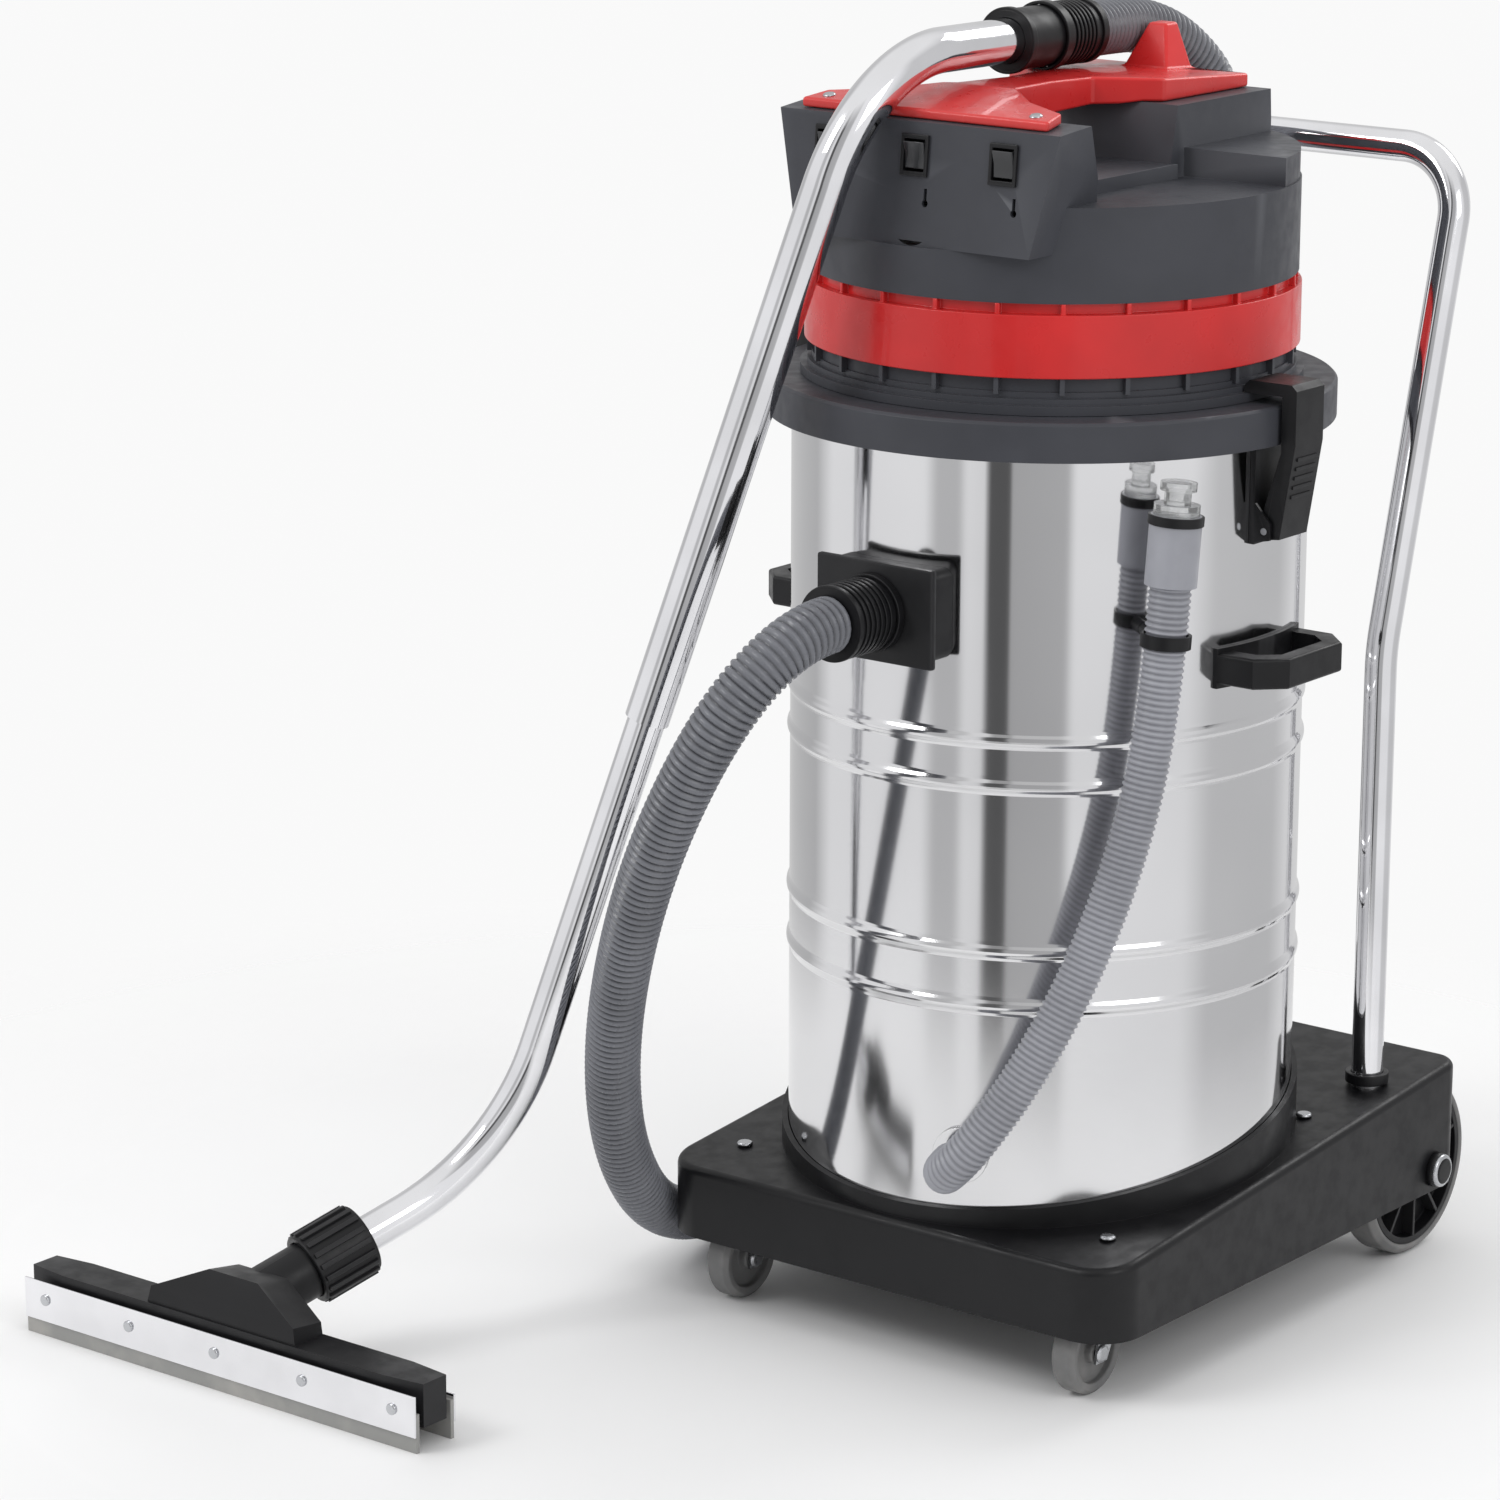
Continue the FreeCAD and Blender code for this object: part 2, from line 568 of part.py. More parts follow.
bezels = []
for spot in switches_at:
    frame = slab(V(-switch_half.x, -3, -switch_half.z), V(switch_half.x, -0.3, switch_half.z))
    frame = frame.fuse(slab(V(-12, -2, -15.5), V(12, 14, 15.5)))
    frame = frame.cut(slab(V(-10.4, -5, -12.9), V(10.4, 12.5, 12.9)))
    bezels.append(on_panel(frame.removeSplitter(), spot))
made("switch_bezels", Part.makeCompound(bezels))
for name, spot in zip(("left", "middle", "right"), switches_at):
    section = [V(-10, -5.2, 11), V(-10, -1.4, 0), V(-10, -0.4, -11), V(-10, 4.5, -11),
               V(-10, 9, -3), V(-10, 9, 3), V(-10, 4.5, 11)]
    made(f"rocker_{name}", on_panel(prism(section, V(20, 0, 0)), spot))

# ---------------------------------------------------------------- lifting handle

lid = size("lid_half")
thick = size("lid_thickness")
grip = size("grip_half")
plate = size("plate_half")
plan = [V(-lid, -187.5, 0), V(lid, -187.5, 0), V(lid - 6, -160, 0), V(72, -138, 0), V(grip + 6, -100, 0),
        V(grip, -40, 0), V(grip + 6, 10, 0), V(plate, 44, 0), V(plate, 172, 0), V(-plate, 172, 0),
        V(-plate, 44, 0), V(-grip - 6, 10, 0), V(-grip, -40, 0), V(-grip - 6, -100, 0),
        V(-72, -138, 0), V(-lid + 6, -160, 0)]
tall = prism([p + V(0, 0, 990) for p in plan], V(0, 0, 150))
front_low = block_top + 0.6
side_view = [V(-200, -191.5, front_low), V(-200, -152, front_low + 4), V(-200, -112, 1040),
             V(-200, 24, 1048), V(-200, 34.5, hump_top + 0.4), V(-200, 172, hump_top + 0.4),
             V(-200, 172, hump_top + thick), V(-200, 40, hump_top + thick + 8),
             V(-200, -110, front_low + thick + 8), V(-200, -191.5, front_low + 8)]
lifter = tall.common(prism(side_view, V(400, 0, 0)))
fin = size("fin_half")
fin_base = hump_top + thick - 2
fin_front = [V(-fin, 130, fin_base), V(fin, 130, fin_base), V(9, 150, size("fin_top")),
             V(-9, 150, size("fin_top"))]
fin_rear = [V(-fin, 171, fin_base), V(fin, 171, fin_base), V(9, 168, size("fin_top")),
            V(-9, 168, size("fin_top"))]
fin_wires = [Part.makePolygon(w + [w[0]]) for w in (fin_front, fin_rear)]
lifter = lifter.fuse(Part.makeLoft(fin_wires, True, True))
made("lifting_handle", lifter.removeSplitter())

# ---------------------------------------------------------------- motors

seal_high = floor_high + size("seal_height")
can_top = seal_high + size("can_height")
for number, spot in enumerate(motors_at, start=1):
    x = str(spot.x)
    y = str(spot.y)
    low = "rim_top + 16 + seal_height"
    top = f"{low} + can_height"
    turned(f"motor_{number}", [
        (26, low), ("can_radius", low), ("can_radius", top), ("stator_radius", top),
        ("stator_radius", "stator_top"), ("shaft_radius + 0.05", "stator_top"),
        ("shaft_radius + 0.05", f"{top} - 3"), ("can_radius - 2", f"{top} - 3"),
        ("can_radius - 2", f"{low} + 2"), (26, f"{low} + 2")], x, y)
    turned(f"impeller_{number}", [
        (0, f"{low} + 6"), ("impeller_radius", f"{low} + 6"), ("impeller_radius", f"{low} + 30"),
        ("impeller_radius - 2", f"{low} + 30"), ("impeller_radius - 2", f"{low} + 8"),
        ("shaft_radius", f"{low} + 8"), ("shaft_radius", "stator_top + 5"), (0, "stator_top + 5")], x, y)
made("motor_seals", Part.makeCompound([ring(66, 30, floor_high, seal_high, spot) for spot in motors_at]))

# ---------------------------------------------------------------- filter and float

turned("filter_ring", [
    ("filter_radius - 14", "rim_top"), ("filter_radius + 4", "rim_top"),
    ("filter_radius + 4", "rim_top + 3"), ("filter_radius - 14", "rim_top + 3")])
turned("filter_bag", [
    ("filter_radius - 6", "rim_top"), ("filter_radius - 30", "rim_top - filter_depth"),
    (0, "rim_top - filter_depth - 10"), (0, "rim_top - filter_depth - 7"),
    ("filter_radius - 33", "rim_top - filter_depth + 3"), ("filter_radius - 9", "rim_top")])
cage_r = size("cage_radius")
cage_top = floor_low
cage_low = cage_top - size("cage_height")
cage = ring(cage_r, cage_r - 3, cage_low, cage_low + 5)
cage = cage.fuse(ring(cage_r + 8, cage_r - 3, cage_top - 4, cage_top))
cage = cage.fuse(rod(cage_r - 1, 3, V(0, 0, cage_low)))
for i in range(8):
    rib = slab(V(cage_r - 3, -2, cage_low), V(cage_r, 2, cage_top)).rotated(V(0, 0, 0), UP, i * 45)
    cage = cage.fuse(rib)
made("float_cage", cage.removeSplitter())
disc = doc.addObject("Part::Cylinder", "float_disc")
bind(disc, "Radius", "float_radius")
bind(disc, "Height", "float_height")
keep(disc, "float_disc", 0, 0, "rim_top + 12 - cage_height + 3.3")

# ---------------------------------------------------------------- inlet

inlet_z = size("inlet_z")
inlet_half = size("inlet_half")
inlet_tall = size("inlet_half_height")
inlet_y = -size("inlet_front")
drum_r = size("drum_radius")
box = slab(V(-inlet_half, inlet_y, inlet_z - inlet_tall), V(inlet_half, 70 - drum_r, inlet_z + inlet_tall))
box = box.makeFillet(9, [e for e in box.Edges if abs(e.tangentAt(e.FirstParameter).y) > 0.9])
box = box.makeFillet(3, [e for e in box.Edges if abs(e.CenterOfMass.y - inlet_y) < 0.1])
box = box.cut(rod(drum_r + 0.2, 200, V(0, 0, inlet_z - 100)))
inlet_bore = 25
box = box.cut(rod(inlet_bore, 80, V(0, inlet_y - 5, inlet_z), V(0, 1, 0)))
made("inlet_box", box)
cuff_end = inlet_y - size("cuff_length")
cuff = rod(size("cuff_radius"), size("cuff_length") - 4, V(0, cuff_end, inlet_z), V(0, 1, 0))
cuff = cuff.fuse(rod(inlet_bore - 0.2, 24, V(0, inlet_y - 4.5, inlet_z), V(0, 1, 0)))
cuff = cuff.cut(rod(size("hose_radius") - 4, 120, V(0, cuff_end - 2, inlet_z), V(0, 1, 0)))
made("inlet_cuff", cuff.removeSplitter())

# ---------------------------------------------------------------- side handles

handle_z = size("side_handle_z")
reach = size("side_handle_reach")
side_half = size("side_handle_half")
side_tall = size("side_handle_height")
bar = size("side_handle_bar")
outer_plan = [V(drum_r - 40, -side_half, 0), V(reach - 22, -side_half, 0), V(reach, -side_half + 22, 0),
              V(reach, side_half - 22, 0), V(reach - 22, side_half, 0), V(drum_r - 40, side_half, 0)]
inner_plan = [V(drum_r - 70, -side_half + bar, 0), V(reach - 30, -side_half + bar, 0),
              V(reach - bar + 3, -side_half + bar + 14, 0), V(reach - bar + 3, side_half - bar - 14, 0),
              V(reach - 30, side_half - bar, 0), V(drum_r - 70, side_half - bar, 0)]
loop = prism([p + V(0, 0, handle_z - side_tall / 2) for p in outer_plan], V(0, 0, side_tall))
loop = loop.makeFillet(3, [e for e in loop.Edges if abs(e.tangentAt(e.FirstParameter).z) < 0.1
                           and e.CenterOfMass.x > drum_r - 20])
loop = loop.cut(prism([p + V(0, 0, handle_z - 30) for p in inner_plan], V(0, 0, 60)))
backing = slab(V(drum_r - 20, -side_half, handle_z - side_tall / 2 - 4),
               V(drum_r + 5, side_half, handle_z + side_tall / 2 + 4))
backing = backing.common(rod(drum_r + 4, 200, V(0, 0, handle_z - 100)))
loop = loop.fuse(backing).cut(rod(drum_r + 0.2, 200, V(0, 0, handle_z - 100))).removeSplitter()
made("side_handle_right", loop)
made("side_handle_left", mirrored(loop))

# ---------------------------------------------------------------- latches

latch = size("latch_half")
latch_low = size("latch_bottom")
pin_z = size("latch_pin_z")
pin_x = drum_r + 13
latch_top = base_low + 14
hook_low = base_low + 8.4
hook_x = size("head_radius") + 1
rim_low = size("rim_bottom")
pins = []
for name, side in LEFT_AND_RIGHT:
    bracket = slab(V(drum_r - 20, -latch - 4, latch_low - 2), V(drum_r + 4, latch + 4, rim_low - 4))
    bracket = bracket.cut(rod(drum_r + 0.2, 200, V(0, 0, latch_low - 40)))
    for y in (-latch - 4, latch + 1):
        ear = [V(drum_r + 1, y, pin_z - 11), V(pin_x + 6, y, pin_z - 7), V(pin_x + 6, y, pin_z + 7),
               V(drum_r + 1, y, pin_z + 26)]
        bracket = bracket.fuse(prism(ear, V(0, 3, 0)))
    bracket = bracket.cut(rod(3, 80, V(pin_x, -40, pin_z), V(0, 1, 0))).removeSplitter()
    pin = rod(3, 2 * latch + 8, V(pin_x, -latch - 4, pin_z), V(0, 1, 0))
    lever_side = [V(pin_x - 6, -latch, pin_z + 2), V(pin_x + 1, -latch, pin_z - 7.5),
                  V(pin_x + 13, -latch, pin_z - 6), V(pin_x + 26, -latch, rim_low + 2),
                  V(pin_x + 26, -latch, latch_top),
                  V(pin_x + 21, -latch, latch_top + 5), V(hook_x + 5, -latch, latch_top + 5),
                  V(hook_x, -latch, latch_top), V(hook_x, -latch, hook_low), V(pin_x + 12, -latch, hook_low),
                  V(pin_x + 12, -latch, rim_low - 6), V(pin_x - 6, -latch, pin_z + 8)]
    lever = prism(lever_side, V(0, 2 * latch, 0))
    lever = lever.cut(rod(3.05, 80, V(pin_x, -40, pin_z), V(0, 1, 0)))
    shapes = (bracket, pin, lever) if side > 0 else (mirrored(bracket), mirrored(pin), mirrored(lever))
    made(f"latch_bracket_{name}", shapes[0])
    pins.append(shapes[1])
    made(f"latch_lever_{name}", shapes[2])
made("latch_pins", Part.makeCompound(pins))

# ---------------------------------------------------------------- drain

drain_r = size("drain_radius")
drain_angle = math.radians(-72)
outward = V(math.cos(drain_angle), math.sin(drain_angle), 0)
drain_z = 190
drain_exit = outward * (drum_r + 24) + V(0, 0, drain_z)
drain_route = [drain_exit, drain_exit + outward * 22, V(97, -272, 196), V(124, -272, 224),
               V(157, -243, 286), V(186, -205, 372), V(207, -171, 476), V(218, -150, 586), V(221, -143, 690)]
fitting_start = outward * (drum_r - 4) + V(0, 0, drain_z)
fitting = bar_between(fitting_start, drain_exit, drain_r - 3)
fitting = fitting.fuse(rod(drain_r + 6, 4, outward * (drum_r + 0.8) + V(0, 0, drain_z), outward))
fitting = fitting.cut(rod(drum_r + 0.2, 120, V(0, 0, drain_z - 60)))
made("drain_fitting", fitting.removeSplitter())
made("drain_hose", cord_tube("drain_hose", drain_route, drain_r))
cuff_axis = (drain_route[-1] - drain_route[-2]).normalize()
cuff_start = drain_route[-1]
cuff_stop = cuff_start + cuff_axis * size("drain_cuff_length")
made("drain_cuff", bar_between(cuff_start, cuff_stop, size("drain_cuff_radius")))
plug = rod(19, 9, cuff_stop, cuff_axis)
plug = plug.fuse(rod(11, 24, cuff_stop, cuff_axis)).fuse(rod(15, 7, cuff_stop + cuff_axis * 20, cuff_axis))
made("drain_plug", plug.removeSplitter())
tie_axis = (drain_route[-1] - drain_route[-2]).normalize()
tie_at = drain_route[-1] - tie_axis * 46
tie = rod(drain_r + 3, 11, tie_at - tie_axis * 5, tie_axis)
tie = tie.cut(rod(drain_r + 0.4, 40, tie_at - tie_axis * 20, tie_axis))
tie_in = V(tie_at.x, tie_at.y, 0).normalize()
strap = rod(6, 60, tie_in * (drum_r - 8) + V(0, 0, tie_at.z), tie_in)
strap = strap.cut(rod(drain_r + 0.4, 60, tie_at - tie_axis * 30, tie_axis))
strap = strap.common(rod(math.hypot(tie_at.x, tie_at.y), 60, V(0, 0, tie_at.z - 30)))
tie = tie.fuse(strap).cut(rod(drum_r + 0.4, 200, V(0, 0, tie_at.z - 100)))
made("drain_tie", tie.removeSplitter())

# ---------------------------------------------------------------- wand

wand_r = size("wand_radius")
neck_base = V(-385, -594, 66)
foot_corner = V(-304, -370, 152)
top_corner = V(-24, -231, 1103)
wand_end = V(-35, 32.6, 1098.3)
foot_run = (foot_corner - neck_base).normalize()
wand_start = neck_base + foot_run * 62
joint_share = 0.415
joint = foot_corner + (top_corner - foot_corner) * joint_share
wand_wall = size("wand_wall")
lower_r = wand_r - 2.5
lower_path = bent_path([wand_start, foot_corner, joint], [size("wand_foot_bend")])
upper_path = bent_path([joint, top_corner, wand_end], [size("wand_bend")])
made("wand_lower", swept_tube(lower_path, lower_r, wand_wall))
made("wand_upper", swept_tube(upper_path, wand_r, wand_wall))
end_run = (wand_end - top_corner).normalize()
wand_cuff_end = wand_end + end_run * 60
wand_cuff = bar_between(wand_end - end_run * 60, wand_cuff_end, wand_r + 7)
wand_cuff = wand_cuff.cut(bar_between(wand_end - end_run * 70, wand_end, wand_r))
wand_cuff = wand_cuff.cut(bar_between(wand_end, wand_cuff_end, size("hose_radius") - 5))
made("wand_cuff", wand_cuff.removeSplitter())
nut_end = neck_base + foot_run * 108
nut = bar_between(neck_base + foot_run * 52, nut_end, 31)
nut = nut.cut(bar_between(neck_base + foot_run * 62, nut_end + foot_run, lower_r + 0.05))
nut = nut.cut(bar_between(neck_base + foot_run * 50, neck_base + foot_run * 62.3, 25.3))
made("collar_nut", nut.removeSplitter())

# ---------------------------------------------------------------- floor tool

tool = V(size("tool_x"), size("tool_y"), 0)
tool_half = size("tool_half")
tool_top = size("tool_top")
bar_plan = [V(-tool_half, -14, 0), V(-tool_half + 40, -19, 0), V(tool_half - 40, -19, 0),
            V(tool_half, -14, 0),
            V(tool_half, 14, 0), V(tool_half - 40, 19, 0), V(-tool_half + 40, 19, 0), V(-tool_half, 14, 0)]
channel = prism([p + tool + V(0, 0, 20) for p in bar_plan], V(0, 0, tool_top - 20))
channel = channel.cut(slab(tool + V(-tool_half + 20, -10, 10), tool + V(tool_half - 20, 10, tool_top - 8)))
wedge_low = [V(-86, -17, tool_top - 4), V(86, -17, tool_top - 4), V(86, 17, tool_top - 4),
             V(-86, 17, tool_top - 4)]
wedge_mid = [V(-82, -15, tool_top + 14), V(82, -15, tool_top + 14), V(82, 19, tool_top + 10),
             V(-82, 19, tool_top + 10)]
wedge_top = [V(-26, -2, tool_top + 38), V(30, -2, tool_top + 38), V(34, 30, tool_top + 34),
             V(-22, 30, tool_top + 34)]
wires = [Part.makePolygon([p + tool for p in w] + [w[0] + tool]) for w in (wedge_low, wedge_mid, wedge_top)]
tool_body = channel.fuse(Part.makeLoft(wires, True, True))
neck = bar_between(neck_base - foot_run * 22, neck_base + foot_run * 62, 25)
tool_body = tool_body.fuse(neck)
tool_body = tool_body.cut(slab(tool + V(-60, -10, 10), tool + V(60, 10, tool_top - 8)))
made("tool_body", tool_body.removeSplitter())
blade_height = size("blade_height")
for name, way, plate_top in (("front", -1, 50), ("rear", 1, 38)):
    face = 19 * way
    low_y, high_y = sorted((face, face + way * 4))
    made(f"tool_blade_{name}", slab(tool + V(-tool_half, low_y, 0),
                                    tool + V(tool_half, high_y, blade_height)))
    low_y, high_y = sorted((face + way * 4, face + way * 6))
    made(f"tool_plate_{name}", slab(tool + V(-tool_half, low_y, 14), tool + V(tool_half, high_y, plate_top)))
plate_y = tool.y - 25
made("tool_screws", Part.makeCompound([
    pan_screw(V(tool.x + (i - 2) * 100, plate_y, 34), V(0, -1, 0), 5, 2, 4) for i in range(5)]))

# ---------------------------------------------------------------- suction hose

hose_route = [
    V(0, cuff_end, inlet_z), V(0, -352, inlet_z), V(-32, -402, 598), V(-88, -412, 494), V(-146, -391, 380),
    V(-203, -345, 255), V(-240, -288, 145), V(-266, -205, 60), V(-288, -85, 26), V(-308, 60, 25),
    V(-326, 210, 26), V(-330, 330, 25), V(-300, 425, 32), V(-235, 478, 62), V(-160, 474, 125),
    V(-105, 425, 215), V(-72, 360, 330), V(-52, 305, 460), V(-38, 278, 600), V(-30, 274, 750),
    V(-24, 281, 880), V(-16, 286, 965), V(-20, 274, 1032), V(-34, 232, 1076), V(-43, 184, 1094),
    wand_cuff_end + end_run * 42, wand_cuff_end]
made("suction_hose", cord_tube("suction_hose", hose_route, size("hose_radius")))

# ---------------------------------------------------------------- check and write

doc.recompute()
for thing in doc.Objects:
    if "Invalid" in thing.State or "Error" in thing.State:
        raise RuntimeError(f"{thing.Label} failed: {thing.State}")
os.makedirs("parts", exist_ok=True)
for thing in SUBPARTS:
    if thing.Shape.isNull() or not thing.Shape.isValid():
        raise RuntimeError(f"{thing.Label} has no valid shape")
    thing.Shape.exportStep(os.path.join("parts", thing.Label + ".step"))
print(len(SUBPARTS), "sub-parts written")
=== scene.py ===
import json
import math

import bmesh
import bpy
from mathutils import Matrix, Vector


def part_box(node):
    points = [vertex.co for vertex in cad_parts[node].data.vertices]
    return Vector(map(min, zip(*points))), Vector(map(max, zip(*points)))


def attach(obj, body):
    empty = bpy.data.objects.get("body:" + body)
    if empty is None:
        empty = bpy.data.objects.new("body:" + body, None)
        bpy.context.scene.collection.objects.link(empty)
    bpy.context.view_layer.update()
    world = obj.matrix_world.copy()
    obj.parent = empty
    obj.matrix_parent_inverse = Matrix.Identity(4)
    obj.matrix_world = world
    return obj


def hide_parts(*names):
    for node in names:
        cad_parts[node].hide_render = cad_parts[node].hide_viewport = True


# A wet and dry drum vacuum on its wheeled tray. Sizes are in millimetres about the drum's axis, on
# the floor, until at() and the mesh helpers turn them into metres in the frame of the whole machine.

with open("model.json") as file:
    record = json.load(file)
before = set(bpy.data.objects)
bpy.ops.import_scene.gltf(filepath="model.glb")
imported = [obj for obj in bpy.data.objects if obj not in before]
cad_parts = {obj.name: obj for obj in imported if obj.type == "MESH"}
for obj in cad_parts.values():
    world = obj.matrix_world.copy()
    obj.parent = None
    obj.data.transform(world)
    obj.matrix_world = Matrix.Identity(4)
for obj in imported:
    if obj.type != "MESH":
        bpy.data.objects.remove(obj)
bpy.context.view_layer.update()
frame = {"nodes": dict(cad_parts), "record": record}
RECORD = frame["record"]
NODES = frame["nodes"]
BODY_OF = {node: body for body, members in RECORD["behaviour"]["bodies"].items() for node in members}
SLOT_OF = {part["node"]: part["material_slot"] for part in RECORD["subparts"]}
MM = 0.001
ROOT = "machine"

drum_low, drum_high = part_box("drum_shell")
AXIS = Vector(((drum_low.x + drum_high.x) / 2, (drum_low.y + drum_high.y) / 2, 0))
SIDES = (("left", -1), ("right", 1))


def at(x, y, z):
    """A place given in millimetres about the drum's axis, in the machine's frame."""
    return AXIS + Vector((x, y, z)) * MM


# ---------------------------------------------------------------- camera

CAMERA_AT = at(2500.0, -3582.1, 1621.2)
CAMERA_LOOKS_AT = at(-199.9, -157.6, 486.7)
CAMERA_LENS = 125.1
CAMERA_ROLL = math.radians(0.15)


def make_camera():
    data = bpy.data.cameras.new("camera")
    data.lens = CAMERA_LENS
    data.sensor_width = 36
    data.clip_end = 60
    camera = bpy.data.objects.new("camera", data)
    bpy.context.scene.collection.objects.link(camera)
    turn = (CAMERA_LOOKS_AT - CAMERA_AT).to_track_quat("-Z", "Y")
    camera.matrix_world = Matrix.Translation(CAMERA_AT) @ turn.to_matrix().to_4x4() @ Matrix.Rotation(
        CAMERA_ROLL, 4, "Z")
    bpy.context.scene.camera = camera


make_camera()

# ---------------------------------------------------------------- finishes


class Finish:
    """A material whose colour, gloss and surface grain are worked out from Object coordinates."""

    def __init__(self, name, metallic=0.0, coat=0.0, transmission=0.0, ior=1.46, specular=0.5):
        self.material = bpy.data.materials.new(name)
        self.material.use_nodes = True
        self.tree = self.material.node_tree
        self.shader = self.tree.nodes["Principled BSDF"]
        self.shader.inputs["Metallic"].default_value = metallic
        self.shader.inputs["Coat Weight"].default_value = coat
        self.shader.inputs["Transmission Weight"].default_value = transmission
        self.shader.inputs["IOR"].default_value = ior
        self.shader.inputs["Specular IOR Level"].default_value = specular
        self.coords = self.tree.nodes.new("ShaderNodeTexCoord").outputs["Object"]

    def link(self, source, target):
        self.tree.links.new(source, target)

    def noise(self, scale, detail=3.0, stretch=(1, 1, 1)):
        """A noise pattern; its scale is in waves to the metre."""
        stretched = self.tree.nodes.new("ShaderNodeMapping")
        stretched.inputs["Scale"].default_value = stretch
        self.link(self.coords, stretched.inputs["Vector"])
        pattern = self.tree.nodes.new("ShaderNodeTexNoise")
        pattern.inputs["Scale"].default_value = scale
        pattern.inputs["Detail"].default_value = detail
        self.link(stretched.outputs["Vector"], pattern.inputs["Vector"])
        return pattern.outputs["Fac"]

    def between(self, pattern, low, high, start=0.35, end=0.65):
        """The pattern stretched to run from low to high."""
        ranged = self.tree.nodes.new("ShaderNodeMapRange")
        for name, value in (("From Min", start), ("From Max", end), ("To Min", low), ("To Max", high)):
            ranged.inputs[name].default_value = value
        self.link(pattern, ranged.inputs["Value"])
        return ranged.outputs["Result"]

    def blend(self, share, first, second):
        """A colour between two; either may be a colour or a socket."""
        mixed = self.tree.nodes.new("ShaderNodeMix")
        mixed.data_type = "RGBA"
        self.link(share, mixed.inputs["Factor"])
        for socket, colour in ((mixed.inputs["A"], first), (mixed.inputs["B"], second)):
            if isinstance(colour, tuple):
                socket.default_value = (*colour, 1)
            else:
                self.link(colour, socket)
        return mixed.outputs["Result"]

    def worn_edges(self, colour, worn, start=0.53, end=0.62):
        """A colour that turns to a lighter one along the piece's outer edges."""
        edge = self.tree.nodes.new("ShaderNodeNewGeometry").outputs["Pointiness"]
        return self.blend(self.between(edge, 0.0, 1.0, start, end), colour, worn)

    def colour(self, socket):
        self.link(socket, self.shader.inputs["Base Color"])

    def roughness(self, socket):
        self.link(socket, self.shader.inputs["Roughness"])

    def relief(self, pattern, height, strength=1.0, after=None):
        """Grain that stands up by height, in millimetres."""
        bump = self.tree.nodes.new("ShaderNodeBump")
        bump.inputs["Strength"].default_value = strength
        bump.inputs["Distance"].default_value = height * MM
        self.link(pattern, bump.inputs["Height"])
        if after is not None:
            self.link(after, bump.inputs["Normal"])
        self.link(bump.outputs["Normal"], self.shader.inputs["Normal"])
        return bump.outputs["Normal"]


def moulded(name, colour, worn, gloss, grain=900, height=0.05, coat=0.0):
    """Moulded plastic: fine grain, slightly uneven tone, paler on the edges that hands rub."""
    made = Finish(name, coat=coat, specular=0.34)
    tone = tuple(c * 1.22 for c in colour)
    made.colour(made.worn_edges(made.blend(made.between(made.noise(9), 0, 1), colour, tone), worn))
    made.roughness(made.between(made.noise(60), gloss, gloss + 0.14))
    made.relief(made.noise(grain, 2), height, 0.35)
    return made.material


def polished_sheet(name):
    """Rolled stainless sheet, polished up and down, with faint wiping marks."""
    made = Finish(name, metallic=1.0)
    made.colour(made.blend(made.between(made.noise(3), 0, 1), (0.70, 0.70, 0.71), (0.78, 0.78, 0.79)))
    made.roughness(made.between(made.noise(5, 4, (1, 1, 0.3)), 0.05, 0.13))
    fine = made.relief(made.noise(700, 2, (1, 1, 0.02)), 0.006, 0.25)
    made.relief(made.noise(2.2, 1, (1, 1, 0.45)), 1.2, 0.10, fine)
    return made.material


def plated(name, colour, gloss=0.03, waviness=0.08):
    """Chrome or zinc plate with faint smears."""
    made = Finish(name, metallic=1.0)
    made.colour(made.blend(made.between(made.noise(12), 0, 1), colour, tuple(c * 0.9 for c in colour)))
    made.roughness(made.between(made.noise(30, 4), gloss, gloss + 0.09))
    made.relief(made.noise(18, 1), 0.25, waviness)
    return made.material


def rubbery(name, colour, dust, grain=500):
    """Rubber: matt, faintly pitted, dusty in patches."""
    made = Finish(name)
    made.colour(made.blend(made.between(made.noise(25, 5), 0, 1, 0.45, 0.75), colour, dust))
    made.roughness(made.between(made.noise(80), 0.62, 0.82))
    made.relief(made.noise(grain, 3), 0.12, 0.4)
    return made.material


def hose_wall(name, rib, painted_valley_shade, gloss):
    """Bendy hose wall: uneven tone along its length, with painted shade darkening its valleys."""
    made = Finish(name)
    tone = made.blend(made.between(made.noise(14, 4), 0, 1), rib, tuple(c * 1.25 for c in rib))
    edge = made.tree.nodes.new("ShaderNodeNewGeometry").outputs["Pointiness"]
    # Painted shade: where pointiness is low, in the grooves between the ribs, the colour turns to the
    # near-black valley shade instead of the hose's own tone.
    made.colour(made.blend(made.between(edge, 0.0, 1.0, 0.42, 0.52), painted_valley_shade, tone))
    made.roughness(made.between(made.noise(90), gloss, gloss + 0.12))
    made.relief(made.noise(650, 2), 0.04, 0.3)
    return made.material


def clear_moulding(name):
    """Clear plastic, slightly milky."""
    made = Finish(name, transmission=0.85, ior=1.49)
    made.colour(made.blend(made.between(made.noise(120), 0, 1), (0.80, 0.81, 0.80), (0.92, 0.93, 0.93)))
    made.roughness(made.between(made.noise(200), 0.08, 0.2))
    made.relief(made.noise(260, 2), 0.1, 0.3)
    return made.material


def woven(name, colour, other):
    """Filter cloth: threads crossing at right angles."""
    made = Finish(name)
    weave = made.tree.nodes.new("ShaderNodeTexChecker")
    weave.inputs["Scale"].default_value = 900
    made.link(made.coords, weave.inputs["Vector"])
    made.colour(made.blend(weave.outputs["Fac"], colour, other))
    made.roughness(made.between(made.noise(300), 0.85, 0.97))
    made.relief(weave.outputs["Fac"], 0.15, 0.5)
    return made.material


